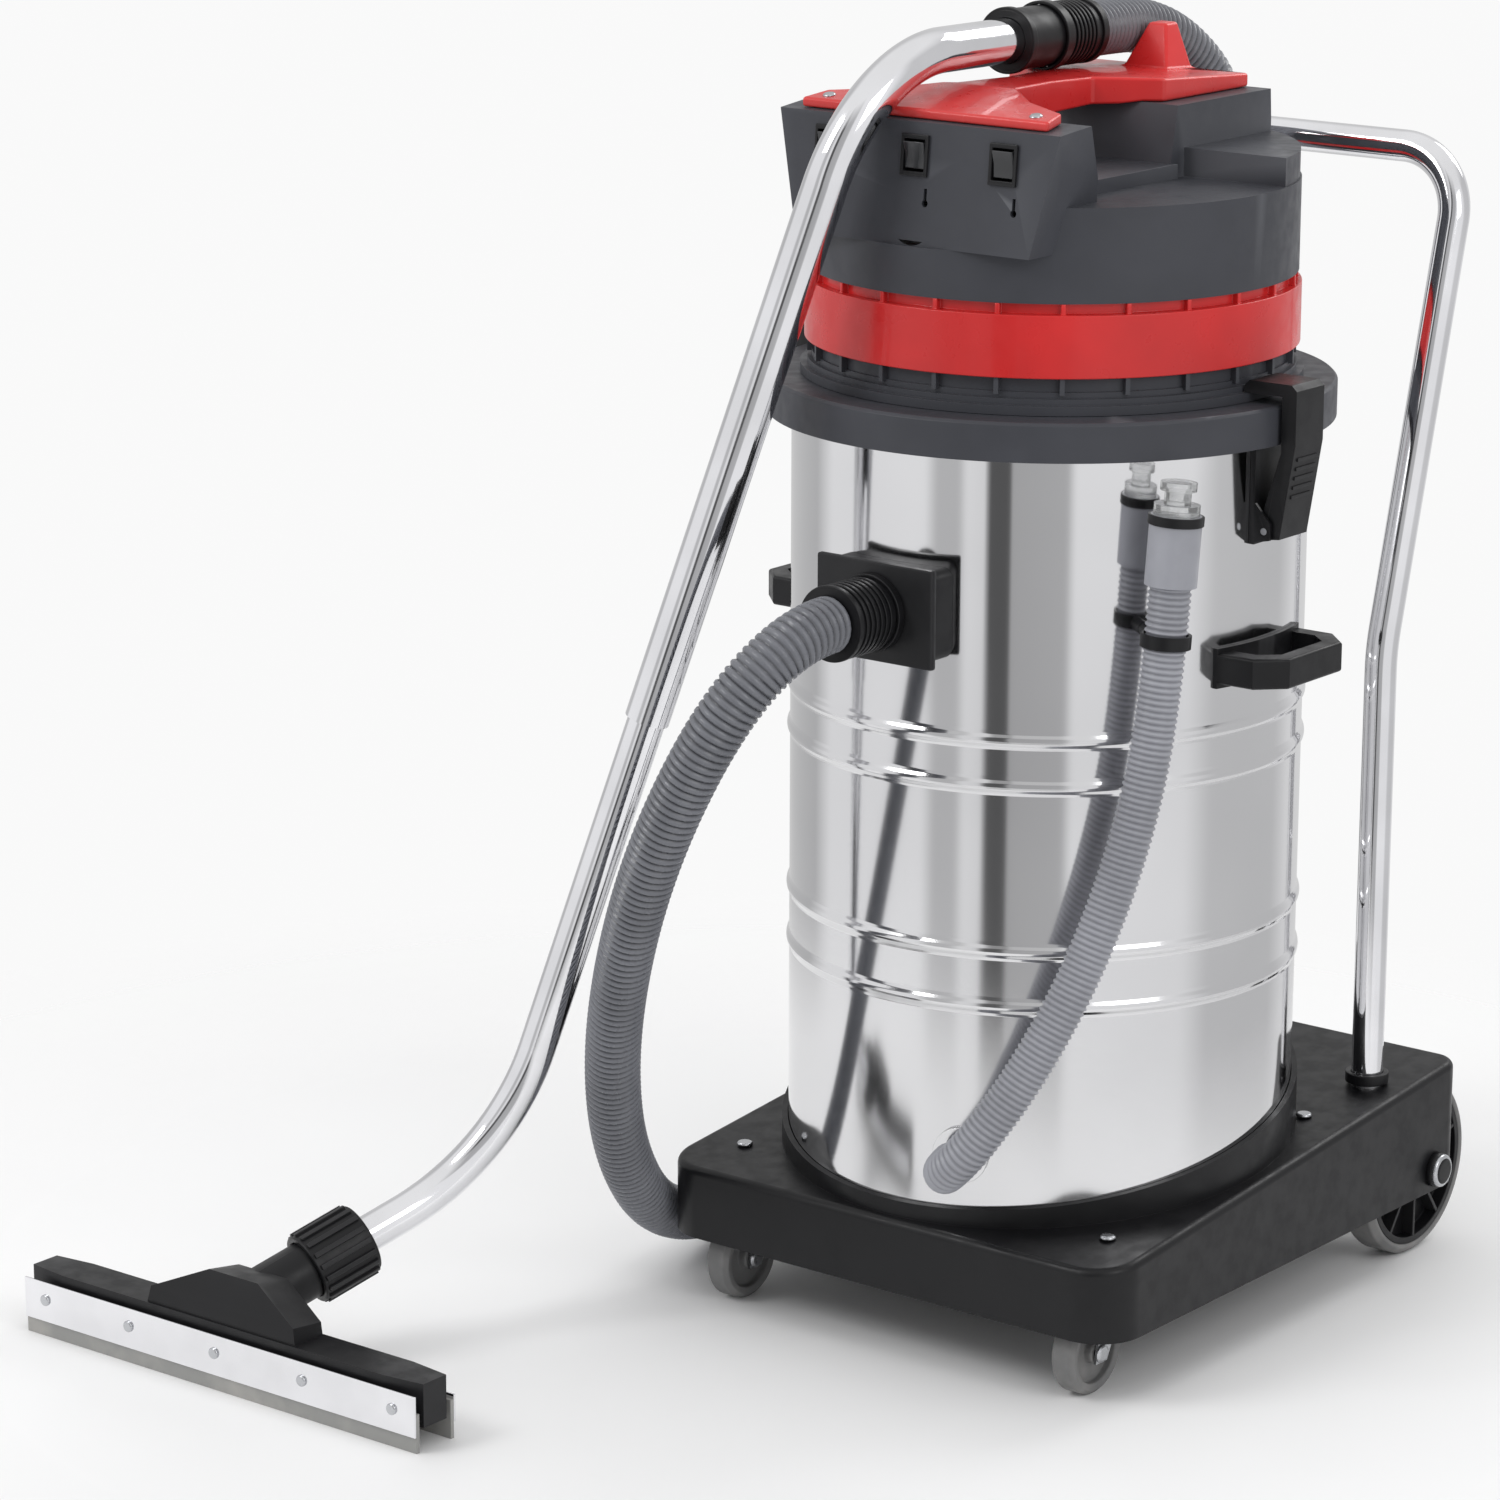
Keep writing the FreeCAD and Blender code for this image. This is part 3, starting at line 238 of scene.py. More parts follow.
FINISHES = {
    "stainless": polished_sheet("polished_stainless"),
    "chrome": plated("bright_chrome", (0.86, 0.86, 0.88)),
    "steel": plated("zinc_plate", (0.55, 0.56, 0.58), gloss=0.22, waviness=0.15),
    "dark_plastic": moulded("slate_plastic", (0.050, 0.052, 0.061), (0.115, 0.119, 0.132), 0.38, height=0.07),
    "black_plastic": moulded("black_plastic", (0.007, 0.007, 0.008), (0.035, 0.035, 0.037), 0.32,
                             height=0.06),
    "switch_black": moulded("smoky_switch", (0.018, 0.019, 0.021), (0.08, 0.08, 0.085), 0.10,
                            height=0.01, coat=0.6),
    "red_plastic": moulded("red_plastic", (0.60, 0.022, 0.022), (0.78, 0.10, 0.09), 0.26,
                           height=0.03, coat=0.25),
    "white_plastic": moulded("white_plastic", (0.72, 0.72, 0.70), (0.82, 0.82, 0.80), 0.35),
    "clear_plastic": clear_moulding("clear_plastic"),
    "tyre_rubber": rubbery("grey_tyre", (0.17, 0.17, 0.17), (0.26, 0.255, 0.25)),
    "seal_rubber": rubbery("black_seal", (0.02, 0.02, 0.02), (0.05, 0.05, 0.05)),
    "blade_rubber": rubbery("grey_blade", (0.30, 0.30, 0.29), (0.40, 0.39, 0.37)),
    # The third colour of each hose finish is painted shade for its valleys.
    "hose_grey": hose_wall("grey_hose", (0.155, 0.160, 0.178), (0.010, 0.010, 0.012), 0.20),
    "drain_hose_grey": hose_wall("pale_grey_hose", (0.30, 0.305, 0.335), (0.07, 0.072, 0.082), 0.28),
    "filter_cloth": woven("filter_cloth", (0.52, 0.50, 0.44), (0.62, 0.60, 0.54)),
    "motor_metal": plated("motor_can", (0.50, 0.50, 0.52), gloss=0.3),
    "aluminium": plated("cast_aluminium", (0.66, 0.66, 0.68), gloss=0.35),
}

# ---------------------------------------------------------------- mesh helpers


def linked(name, mesh):
    piece = bpy.data.objects.new(name, mesh)
    bpy.context.scene.collection.objects.link(piece)
    return piece


def mesh_piece(name, points, faces):
    """A mesh piece from places in millimetres about the drum's axis."""
    mesh = bpy.data.meshes.new(name)
    mesh.from_pydata([at(*p) for p in points], [], faces)
    return linked(name, mesh)


def plain(piece):
    """The piece with its modifiers worked into a plain mesh."""
    view = bpy.context.evaluated_depsgraph_get()
    mesh = bpy.data.meshes.new_from_object(piece.evaluated_get(view), depsgraph=view)
    name = piece.name
    old = piece.data
    bpy.data.objects.remove(piece)
    old.name = name + "_source"
    mesh.name = name
    return linked(name, mesh)


def smoothed(piece, sharp_angle=40):
    """Smooth faces, with edges over the angle kept crisp and flat faces kept flat."""
    shape = bmesh.new()
    shape.from_mesh(piece.data)
    for face in shape.faces:
        face.smooth = True
    for edge in shape.edges:
        edge.smooth = len(edge.link_faces) == 2 and edge.calc_face_angle(0) < math.radians(sharp_angle)
    shape.to_mesh(piece.data)
    shape.free()
    weighted = piece.modifiers.new("weighted", "WEIGHTED_NORMAL")
    weighted.keep_sharp = True
    return plain(piece)


def joined(name, pieces):
    """Several pieces as one."""
    shape = bmesh.new()
    for piece in pieces:
        shape.from_mesh(piece.data)
        bpy.data.objects.remove(piece)
    mesh = bpy.data.meshes.new(name)
    shape.to_mesh(mesh)
    shape.free()
    return linked(name, mesh)


def rounded(section, radius, steps=4, closed=True):
    """A section whose corners are turned into arcs, limited by the runs beside them."""
    count = len(section)
    out = []
    for i, corner in enumerate(section):
        if not closed and i in (0, count - 1):
            out.append(corner)
            continue
        here = Vector(corner)
        before = Vector(section[i - 1]) - here
        after = Vector(section[(i + 1) % count]) - here
        turn = before.angle(after, math.pi)
        if turn > math.radians(176) or min(before.length, after.length) < 1e-6:
            out.append(corner)
            continue
        reach = min(radius / math.tan(turn / 2), 0.45 * before.length, 0.45 * after.length)
        start = here + before.normalized() * reach
        end = here + after.normalized() * reach
        for step in range(steps + 1):
            share = step / steps
            out.append(tuple(start * (1 - share) ** 2 + here * 2 * share * (1 - share) + end * share ** 2))
    return out


def turned(name, section, centre=(0, 0, 0), axis=(0, 0, 1), segments=96, corner=0.8, ring=True):
    """A turned piece. The section is (radius, height) corners: a closed ring, or from pole to pole."""
    outline = rounded(section, corner, closed=ring)
    up = Vector(axis).normalized()
    across = up.orthogonal().normalized()
    other = up.cross(across)
    middle = Vector(centre)
    points = []
    rows = []
    for radius, height in outline:
        if radius < 1e-6:
            rows.append([len(points)] * segments)
            points.append(middle + up * height)
            continue
        rows.append(list(range(len(points), len(points) + segments)))
        for i in range(segments):
            angle = 2 * math.pi * i / segments
            outward = across * math.cos(angle) + other * math.sin(angle)
            points.append(middle + up * height + outward * radius)
    faces = []
    pairs = list(zip(rows, rows[1:])) + ([(rows[-1], rows[0])] if ring else [])
    for low, high in pairs:
        for i in range(segments):
            j = (i + 1) % segments
            corners = []
            for v in (low[i], low[j], high[j], high[i]):
                if v not in corners:
                    corners.append(v)
            if len(corners) > 2:
                faces.append(corners)
    piece = mesh_piece(name, points, faces)
    face_out(piece)
    return piece


def face_out(piece):
    shape = bmesh.new()
    shape.from_mesh(piece.data)
    bmesh.ops.recalc_face_normals(shape, faces=shape.faces)
    shape.to_mesh(piece.data)
    shape.free()


def box_piece(name, low, high, bevel=0.6):
    """A small block with rounded edges."""
    shape = bmesh.new()
    bmesh.ops.create_cube(shape, size=1)
    size = Vector(high) - Vector(low)
    middle = (Vector(high) + Vector(low)) / 2
    for vertex in shape.verts:
        vertex.co = Vector([vertex.co[i] * size[i] for i in range(3)]) + middle
    bmesh.ops.bevel(shape, geom=list(shape.edges), offset=bevel, segments=2, affect="EDGES", profile=0.6)
    mesh = bpy.data.meshes.new(name)
    shape.to_mesh(mesh)
    shape.free()
    return linked(name, mesh)


def to_frame(piece):
    """Takes a piece drawn in millimetres about the drum's axis to its place in metres."""
    piece.data.transform(Matrix.Translation(AXIS) @ Matrix.Scale(MM, 4))
    return piece


def softened(node, name, width, segments=3, angle=30, flat=1.0, crisp=32):
    """A CAD node's own shape with its edges rounded over."""
    piece = linked(name, NODES[node].data.copy())
    piece.data.materials.clear()
    shape = bmesh.new()
    shape.from_mesh(piece.data)
    bmesh.ops.remove_doubles(shape, verts=shape.verts, dist=0.004 * MM)
    bmesh.ops.dissolve_limit(shape, angle_limit=math.radians(flat), verts=shape.verts, edges=shape.edges)
    shape.to_mesh(piece.data)
    shape.free()
    piece.data.normals_split_custom_set_from_vertices([(0, 0, 0)] * len(piece.data.vertices))
    bevel = piece.modifiers.new("edges", "BEVEL")
    bevel.width = width * MM
    bevel.segments = segments
    bevel.limit_method = "ANGLE"
    bevel.angle_limit = math.radians(angle)
    bevel.use_clamp_overlap = True
    return smoothed(plain(piece), crisp)


def bent_points(points, radii):
    """Places along straight runs joined by arcs."""
    out = [Vector(points[0])]
    for before, corner, after, radius in zip(points, points[1:], points[2:], radii):
        corner = Vector(corner)
        inward = (corner - Vector(before)).normalized()
        outward = (Vector(after) - corner).normalized()
        half = inward.angle(outward) / 2
        start = corner - inward * radius * math.tan(half)
        normal = (outward - inward).normalized()
        centre = corner + normal * radius / math.cos(half)
        steps = max(4, round(math.degrees(2 * half) / 2.5))
        turn_axis = inward.cross(outward).normalized()
        for step in range(steps + 1):
            turn = Matrix.Rotation(2 * half * step / steps, 3, turn_axis)
            out.append(centre + turn @ (start - centre))
    out.append(Vector(points[-1]))
    return out


def pipe(name, line, radius, segments=40):
    """A round bar or tube's outside along a line of places, closed at its ends."""
    tangents = []
    for i, point in enumerate(line):
        before = line[max(i - 1, 0)]
        after = line[min(i + 1, len(line) - 1)]
        tangents.append((after - before).normalized())
    across = tangents[0].orthogonal().normalized()
    points = []
    for point, tangent in zip(line, tangents):
        across = (across - tangent * across.dot(tangent)).normalized()
        other = tangent.cross(across)
        for i in range(segments):
            angle = 2 * math.pi * i / segments
            points.append(point + (across * math.cos(angle) + other * math.sin(angle)) * radius)
    faces = []
    for row in range(len(line) - 1):
        for i in range(segments):
            j = (i + 1) % segments
            faces.append([row * segments + i, row * segments + j, (row + 1) * segments + j,
                          (row + 1) * segments + i])
    faces.append(list(range(segments)))
    faces.append(list(range((len(line) - 1) * segments, len(line) * segments)))
    piece = mesh_piece(name, points, faces)
    face_out(piece)
    return piece


def show(piece, slot, body, *stands_for):
    """Gives a finished piece its finish, its body and the CAD nodes that it stands for."""
    piece.data.materials.clear()
    piece.data.materials.append(FINISHES[slot])
    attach(piece, body)
    if stands_for:
        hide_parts(*stands_for)
    return piece


# ---------------------------------------------------------------- repeats


def new_tree(name, sizes):
    """An empty tree with a geometry input and named sizes, and its input and output nodes."""
    tree = bpy.data.node_groups.new(name, "GeometryNodeTree")
    tree.interface.new_socket(name="Geometry", in_out="INPUT", socket_type="NodeSocketGeometry")
    for label, kind in sizes:
        tree.interface.new_socket(name=label, in_out="INPUT", socket_type="NodeSocket" + kind)
    tree.interface.new_socket(name="Geometry", in_out="OUTPUT", socket_type="NodeSocketGeometry")
    return tree, tree.nodes.new("NodeGroupInput"), tree.nodes.new("NodeGroupOutput")


def maths(tree, operation, first, second=None):
    node = tree.nodes.new("ShaderNodeMath")
    node.operation = operation
    for socket, value in zip(node.inputs, (first, second)):
        if value is None:
            continue
        if isinstance(value, (int, float)):
            socket.default_value = value
        else:
            tree.links.new(value, socket)
    return node.outputs[0]


def finish_tree(tree, geometry, given, result):
    """Ends a tree: real geometry, in its finish."""
    real = tree.nodes.new("GeometryNodeRealizeInstances")
    dressed = tree.nodes.new("GeometryNodeSetMaterial")
    tree.links.new(geometry, real.inputs[0])
    tree.links.new(real.outputs[0], dressed.inputs["Geometry"])
    tree.links.new(given.outputs["Finish"], dressed.inputs["Material"])
    tree.links.new(dressed.outputs[0], result.inputs["Geometry"])


def ring_tree():
    """Copies of one piece, evenly round an axis."""
    tree, given, result = new_tree("ring_of_copies", [
        ("Count", "Int"), ("Axis", "Vector"), ("Centre", "Vector"), ("Finish", "Material")])
    spots = tree.nodes.new("GeometryNodeMeshLine")
    copies = tree.nodes.new("GeometryNodeInstanceOnPoints")
    spin = tree.nodes.new("FunctionNodeAxisAngleToRotation")
    moved = tree.nodes.new("GeometryNodeTransform")
    number = tree.nodes.new("GeometryNodeInputIndex").outputs[0]
    spots.inputs["Offset"].default_value = (0, 0, 0)
    step = maths(tree, "DIVIDE", 2 * math.pi, given.outputs["Count"])
    tree.links.new(given.outputs["Count"], spots.inputs["Count"])
    tree.links.new(given.outputs["Axis"], spin.inputs["Axis"])
    tree.links.new(maths(tree, "MULTIPLY", number, step), spin.inputs["Angle"])
    tree.links.new(spots.outputs[0], copies.inputs["Points"])
    tree.links.new(given.outputs["Geometry"], copies.inputs["Instance"])
    tree.links.new(spin.outputs[0], copies.inputs["Rotation"])
    tree.links.new(copies.outputs[0], moved.inputs["Geometry"])
    tree.links.new(given.outputs["Centre"], moved.inputs["Translation"])
    finish_tree(tree, moved.outputs[0], given, result)
    return tree


def corrugated_tree():
    """A round hose along a curve, with a groove or a ridge at every pitch."""
    tree, given, result = new_tree("corrugated_hose", [
        ("Radius", "Float"), ("Pitch", "Float"), ("Depth", "Float"), ("Sharpness", "Float"),
        ("Ridges", "Float"), ("Finish", "Material")])
    even = tree.nodes.new("GeometryNodeResampleCurve")
    even.mode = "LENGTH"
    along = tree.nodes.new("GeometryNodeCaptureAttribute")
    along.capture_items.new("FLOAT", "Along")
    section = tree.nodes.new("GeometryNodeCurvePrimitiveCircle")
    section.inputs["Resolution"].default_value = 24
    skin = tree.nodes.new("GeometryNodeCurveToMesh")
    skin.inputs["Fill Caps"].default_value = True
    shaped = tree.nodes.new("GeometryNodeSetPosition")
    outward = tree.nodes.new("GeometryNodeInputNormal").outputs[0]
    where = tree.nodes.new("GeometryNodeSplineParameter").outputs["Length"]
    samples = 6
    tree.links.new(given.outputs["Geometry"], even.inputs["Curve"])
    tree.links.new(maths(tree, "DIVIDE", given.outputs["Pitch"], samples), even.inputs["Length"])
    tree.links.new(even.outputs[0], along.inputs["Geometry"])
    tree.links.new(where, along.inputs["Along"])
    tree.links.new(along.outputs["Geometry"], skin.inputs["Curve"])
    tree.links.new(given.outputs["Radius"], section.inputs["Radius"])
    tree.links.new(section.outputs[0], skin.inputs["Profile Curve"])
    pitches = maths(tree, "DIVIDE", along.outputs["Along"], given.outputs["Pitch"])
    swing = maths(tree, "ABSOLUTE", maths(tree, "COSINE", maths(tree, "MULTIPLY", pitches, math.pi)))
    wave = maths(tree, "POWER", swing, given.outputs["Sharpness"])
    inward = maths(tree, "MULTIPLY", maths(tree, "SUBTRACT", given.outputs["Ridges"], wave), -1.0)
    sunk = maths(tree, "MULTIPLY", maths(tree, "ABSOLUTE", inward), given.outputs["Depth"])
    push = tree.nodes.new("ShaderNodeVectorMath")
    push.operation = "SCALE"
    tree.links.new(outward, push.inputs[0])
    tree.links.new(maths(tree, "MULTIPLY", sunk, -1.0), push.inputs["Scale"])
    tree.links.new(skin.outputs[0], shaped.inputs["Geometry"])
    tree.links.new(push.outputs[0], shaped.inputs["Offset"])
    finish_tree(tree, shaped.outputs[0], given, result)
    return tree


RING = ring_tree()
CORRUGATED = corrugated_tree()


def grown(piece, tree, slot, **values):
    """Runs a tree on a piece, with its inputs set by name."""
    modifier = piece.modifiers.new(tree.name, "NODES")
    modifier.node_group = tree
    values["Finish"] = FINISHES[slot]
    for socket in tree.interface.items_tree:
        if socket.in_out == "INPUT" and socket.name in values:
            modifier[socket.identifier] = values[socket.name]
    return plain(piece)


def ring_of(piece, slot, count, centre, axis=(0, 0, 1)):
    """A piece drawn in millimetres about its own axis, copied round that axis at a centre."""
    grown_piece = grown(piece, RING, slot, Count=count, Axis=axis, Centre=centre)
    return to_frame(grown_piece)


# ---------------------------------------------------------------- cords

HOSE_R = 24
DRAIN_R = 18

HOSE_ROUTE = [
    (0, -307, 655), (0, -352, 655), (-32, -402, 598), (-88, -412, 494), (-146, -391, 380),
    (-203, -345, 255), (-240, -288, 145), (-266, -205, 60), (-288, -85, 26), (-308, 60, 25),
    (-326, 210, 26), (-330, 330, 25), (-300, 425, 32), (-235, 478, 62), (-160, 474, 125),
    (-105, 425, 215), (-72, 360, 330), (-52, 305, 460), (-38, 278, 600), (-30, 274, 750),
    (-24, 281, 880), (-16, 286, 965), (-20, 274, 1032), (-34, 232, 1076), (-43, 184, 1094)]
TOP_CORNER = Vector((-24, -231, 1103))
WAND_END = Vector((-35, 32.6, 1098.3))
END_RUN = (WAND_END - TOP_CORNER).normalized()
HALF_CUFF = 60
CUFF_END = WAND_END + END_RUN * HALF_CUFF
HOSE_ROUTE += [tuple(CUFF_END + END_RUN * 42), tuple(CUFF_END)]

DRAIN_TURN = math.radians(-72)
DRAIN_OUT = Vector((math.cos(DRAIN_TURN), math.sin(DRAIN_TURN), 0))
DRAIN_EXIT = DRAIN_OUT * 244 + Vector((0, 0, 190))
DRAIN_ROUTE = [tuple(DRAIN_EXIT), tuple(DRAIN_EXIT + DRAIN_OUT * 22), (97, -272, 196), (124, -272, 224),
               (157, -243, 286), (186, -205, 372), (207, -171, 476), (218, -150, 586), (221, -143, 690)]


def route_curve(name, route):
    """A smooth curve controlled by the route's points."""
    curve = bpy.data.curves.new(name, "CURVE")
    curve.dimensions = "3D"
    curve.resolution_u = 24
    spline = curve.splines.new("NURBS")
    spline.points.add(len(route) - 1)
    for point, place in zip(spline.points, route):
        point.co = (*at(*place), 1)
    spline.order_u = 3
    spline.use_endpoint_u = True
    return linked(name, curve)


def route_line(curve_piece):
    """The places that a route's curve passes through."""
    mesh = bpy.data.meshes.new_from_object(curve_piece)
    line = [tuple(v.co) for v in mesh.vertices]
    bpy.data.meshes.remove(mesh)
    return line


def make_hose(name, node, route, radius, pitch, depth, sharpness, ridges, slot):
    line_piece = route_curve(name, route)
    line = route_line(line_piece)
    hose = grown(line_piece, CORRUGATED, slot, Radius=radius * MM, Pitch=pitch * MM, Depth=depth * MM,
                 Sharpness=sharpness, Ridges=ridges)
    hose = smoothed(hose, 80)
    show(hose, slot, ROOT, node)


# ---------------------------------------------------------------- drum

BEADS = (322, 370, 512, 551)
DRUM_R = 220


def make_drum():
    section = [(0, 118), (DRUM_R - 12, 118), (DRUM_R, 130)]
    for middle in BEADS:
        section += [(DRUM_R, middle - 8), (DRUM_R + 0.6, middle - 5.5), (DRUM_R + 2.2, middle - 2.5),
                    (DRUM_R + 2.6, middle), (DRUM_R + 2.2, middle + 2.5), (DRUM_R + 0.6, middle + 5.5),
                    (DRUM_R, middle + 8)]
    section += [(DRUM_R, 812), (DRUM_R - 1.5, 812), (DRUM_R - 1.5, 131), (DRUM_R - 13, 119.5), (0, 119.5)]
    drum = turned("drum_sheet", section, segments=256, corner=3, ring=False)
    show(smoothed(drum, 60), "stainless", ROOT, "drum_shell")
    rim = turned("mouth_rim", [
        (220.3, 788), (223.3, 788), (223.3, 816), (239, 816), (239, 788), (242, 788), (242, 818.5),
        (239.5, 821), (206, 821), (188, 821), (188, 812.3), (220.3, 812.3)], segments=192, corner=1.6)
    show(smoothed(rim, 60), "dark_plastic", ROOT, "drum_rim")


# ---------------------------------------------------------------- head

def make_head():
    show(softened("head_base", "vent_ring", 0.8), "dark_plastic", ROOT, "head_base")
    show(softened("motor_band", "red_band", 1.0), "red_plastic", ROOT, "motor_band")
    show(softened("head_cover", "top_cover", 1.4, crisp=9), "dark_plastic", ROOT, "head_cover")
    show(softened("lifting_handle", "red_handle", 2.6), "red_plastic", ROOT, "lifting_handle")
    show(softened("switch_bezels", "switch_frames", 0.7), "black_plastic", ROOT, "switch_bezels")
    for name in ("left", "middle", "right"):
        show(softened(f"rocker_{name}", f"rocker_cap_{name}", 1.0), "switch_black", f"rocker_{name}",
             f"rocker_{name}")


# ---------------------------------------------------------------- wand and tool

WAND_R = 19


def make_wand():
    joint = FOOT_CORNER + (TOP_CORNER - FOOT_CORNER) * 0.415
    lower = pipe("lower_tube", bent_points([NECK + FOOT_RUN * 62, FOOT_CORNER, joint], [190]), WAND_R - 2.8)
    upper = pipe("upper_tube", bent_points([joint, TOP_CORNER, WAND_END], [120]), WAND_R)
    show(smoothed(lower), "chrome", ROOT, "wand_lower")
    show(smoothed(upper), "chrome", ROOT, "wand_upper")


def make_push_handle():
    foot = Vector((-200, 222, 157))
    knee = Vector((-200, 222, 565))
    shoulder = Vector((-200, 332, 988))
    side = [foot, knee, shoulder]
    other = [Vector((-p.x, p.y, p.z)) for p in reversed(side)]
    tube = pipe("push_tube", bent_points(side + other, [150, 60, 60, 150]), 14)
    show(smoothed(tube), "chrome", ROOT, "push_handle")


NECK = Vector((-385, -594, 66))
FOOT_CORNER = Vector((-304, -370, 152))
FOOT_RUN = (FOOT_CORNER - NECK).normalized()
INLET_Z = 655
INLET_CUFF_END = (0, -307, INLET_Z)
TRAY_HALF = 240
WHEEL_AT = (205, 278, 82)
CASTER_AT = (184, -188, 37)
FORK_FACE = 16
LEVER_LOW = (246, 710)
LEVER_HIGH = (259, 790)
RING_SUNK = 3


def raised_rings(name, start, direction, rings, slot, body):
    """Raised rings round a straight round piece: (distance along, width, outer radius) each."""
    pieces = []
    for along, width, radius in rings:
        sunk = radius - RING_SUNK
        section = [(sunk, along), (radius, along), (radius, along + width), (sunk, along + width)]
        pieces.append(turned(name, section, centre=start, axis=direction, segments=64, corner=0.9))
    return show(smoothed(joined(name, pieces), 60), slot, body)


def ribs_round(name, low, high, count, centre, axis, slot, body):
    """Ribs evenly round an axis; the first is drawn for an upright axis."""
    rib = box_piece(name, low, high)
    rib.data.transform(Vector((0, 0, 1)).rotation_difference(Vector(axis)).to_matrix().to_4x4())
    return show(smoothed(ring_of(rib, slot, count, tuple(centre), tuple(axis)), 60), slot, body)


def button(name, centre, axis, radius, height, slot, body, segments=40):
    """A low round cap or screw head with a rounded edge."""
    section = [(0, -0.3), (radius, -0.3), (radius, height * 0.45), (radius * 0.72, height), (0, height)]
    cap = turned(name, section, centre=centre, axis=axis, segments=segments, corner=height * 0.5, ring=False)
    return show(smoothed(cap, 60), slot, body)


def make_wheels():
    across = (1, 0, 0)
    for name, side in SIDES:
        centre = (side * WHEEL_AT[0], WHEEL_AT[1], WHEEL_AT[2])
        tyre = turned(f"tyre_{name}", [(73, -16), (76.5, -17.6), (82, -12), (82, 12), (76.5, 17.6), (73, 16)],
                      centre=centre, axis=across, segments=128, corner=4)
        show(smoothed(tyre, 60), "tyre_rubber", f"rear_wheel_{name}", f"rear_tyre_{name}")
        ribs_round(f"hub_ribs_{name}", (16.5, -1.6, -15.5), (67.6, 1.6, 15.5), 10, centre, across,
                   "black_plastic", f"rear_wheel_{name}")
        button(f"axle_cap_{name}", (side * TRAY_HALF, WHEEL_AT[1], WHEEL_AT[2]), (side, 0, 0), 16, 10.8,
               "black_plastic", ROOT)
        spot = (side * CASTER_AT[0], CASTER_AT[1], CASTER_AT[2])
        wheel = turned(f"caster_tread_{name}", [
            (4.05, -12), (10, -12), (10, -4), (27, -4), (27, -11), (33, -12), (37, -8), (37, 8), (33, 12),
            (27, 11), (27, 4), (10, 4), (10, 12), (4.05, 12)],
            centre=spot, axis=across, segments=96, corner=2)
        show(smoothed(wheel, 60), "tyre_rubber", f"caster_wheel_{name}", f"caster_wheel_{name}")
        for out in (-1, 1):
            pin_end = (spot[0] + out * FORK_FACE, spot[1], spot[2])
            button(f"caster_pin_{name}_{out + 2}", pin_end, (out, 0, 0), 8, 2.6, "steel", f"caster_{name}")


def make_inlet_fittings():
    ribs = [(9 + 6.5 * i, 3.4, 31.6) for i in range(6)]
    raised_rings("inlet_cuff_ribs", INLET_CUFF_END, (0, 1, 0), [(0, 5, 32)] + ribs + [(50, 7, 33)],
                 "black_plastic", ROOT)
    flange = to_frame(box_piece("inlet_flange", (-59, -248, INLET_Z - 42), (59, -241, INLET_Z + 42), 2.4))
    show(smoothed(flange, 50), "black_plastic", ROOT)


def make_wand_fittings():
    ribs = [(70 + 6 * i, 3, 27.6) for i in range(6)]
    raised_rings("wand_cuff_rings", WAND_END - END_RUN * HALF_CUFF, END_RUN,
                 [(0, 7, 28), (52, 11, 29.5)] + ribs + [(111, 8, 28)], "black_plastic", ROOT)
    ribs_round("nut_ribs", (29.5, -2.2, -25), (33.2, 2.2, 25), 18, NECK + FOOT_RUN * 80, FOOT_RUN,
               "black_plastic", "collar_nut")


def make_finger_ridges(name, side):
    """Ridges across a latch lever's sloping outer face."""
    rise = LEVER_HIGH[1] - LEVER_LOW[1]
    for step in range(5):
        height = 744 + 8 * step
        face = LEVER_LOW[0] + (LEVER_HIGH[0] - LEVER_LOW[0]) * (height - LEVER_LOW[1]) / rise
        low_x, high_x = sorted((side * (face - 1), side * (face + 1.5)))
        ridge = box_piece(f"latch_ridge_{name}_{step + 1}", (low_x, -15, height), (high_x, 15, height + 3))
        show(smoothed(to_frame(ridge), 50), "black_plastic", f"latch_{name}")


def make_fittings():
    make_inlet_fittings()
    make_wand_fittings()
    for name, side in SIDES:
        make_finger_ridges(name, side)
        button(f"handle_screw_{name}", (side * 104, -176, 1062.6), (0, -0.14, 1), 5.5, 2.4, "steel", ROOT)


SOFT_EDGES = {
    "base_tray": 1.2, "inlet_box": 1.2, "side_handle_left": 1.6, "side_handle_right": 1.6,
    "latch_bracket_left": 0.8, "latch_bracket_right": 0.8, "latch_lever_left": 1.6, "latch_lever_right": 1.6,
    "tool_body": 1.6, "tool_plate_front": 0.5, "tool_plate_rear": 0.5, "tool_blade_front": 0.5,
    "tool_blade_rear": 0.5, "drain_tie": 0.6, "caster_fork_left": 0.6, "caster_fork_right": 0.6,
    "base_screws": 0.8, "rear_axle": 0.8, "rear_hub_left": 0.8, "rear_hub_right": 0.8, "handle_collars": 1.0,
    "head_seal": 0.3, "motor_1": 0.8, "motor_2": 0.8, "motor_3": 0.8, "impeller_1": 0.3, "impeller_2": 0.3,
    "impeller_3": 0.3, "motor_seals": 0.3, "filter_ring": 0.6, "filter_bag": 0.5, "float_cage": 0.3,
    "float_disc": 1.0, "inlet_cuff": 0.8, "latch_pins": 0.3, "drain_fitting": 0.5, "wand_cuff": 1.2,
    "collar_nut": 1.5, "tool_screws": 0.4,
}


def make_softened():
    for node, width in SOFT_EDGES.items():
        show(softened(node, node + "_piece", width), SLOT_OF[node], BODY_OF[node], node)


# ---------------------------------------------------------------- room

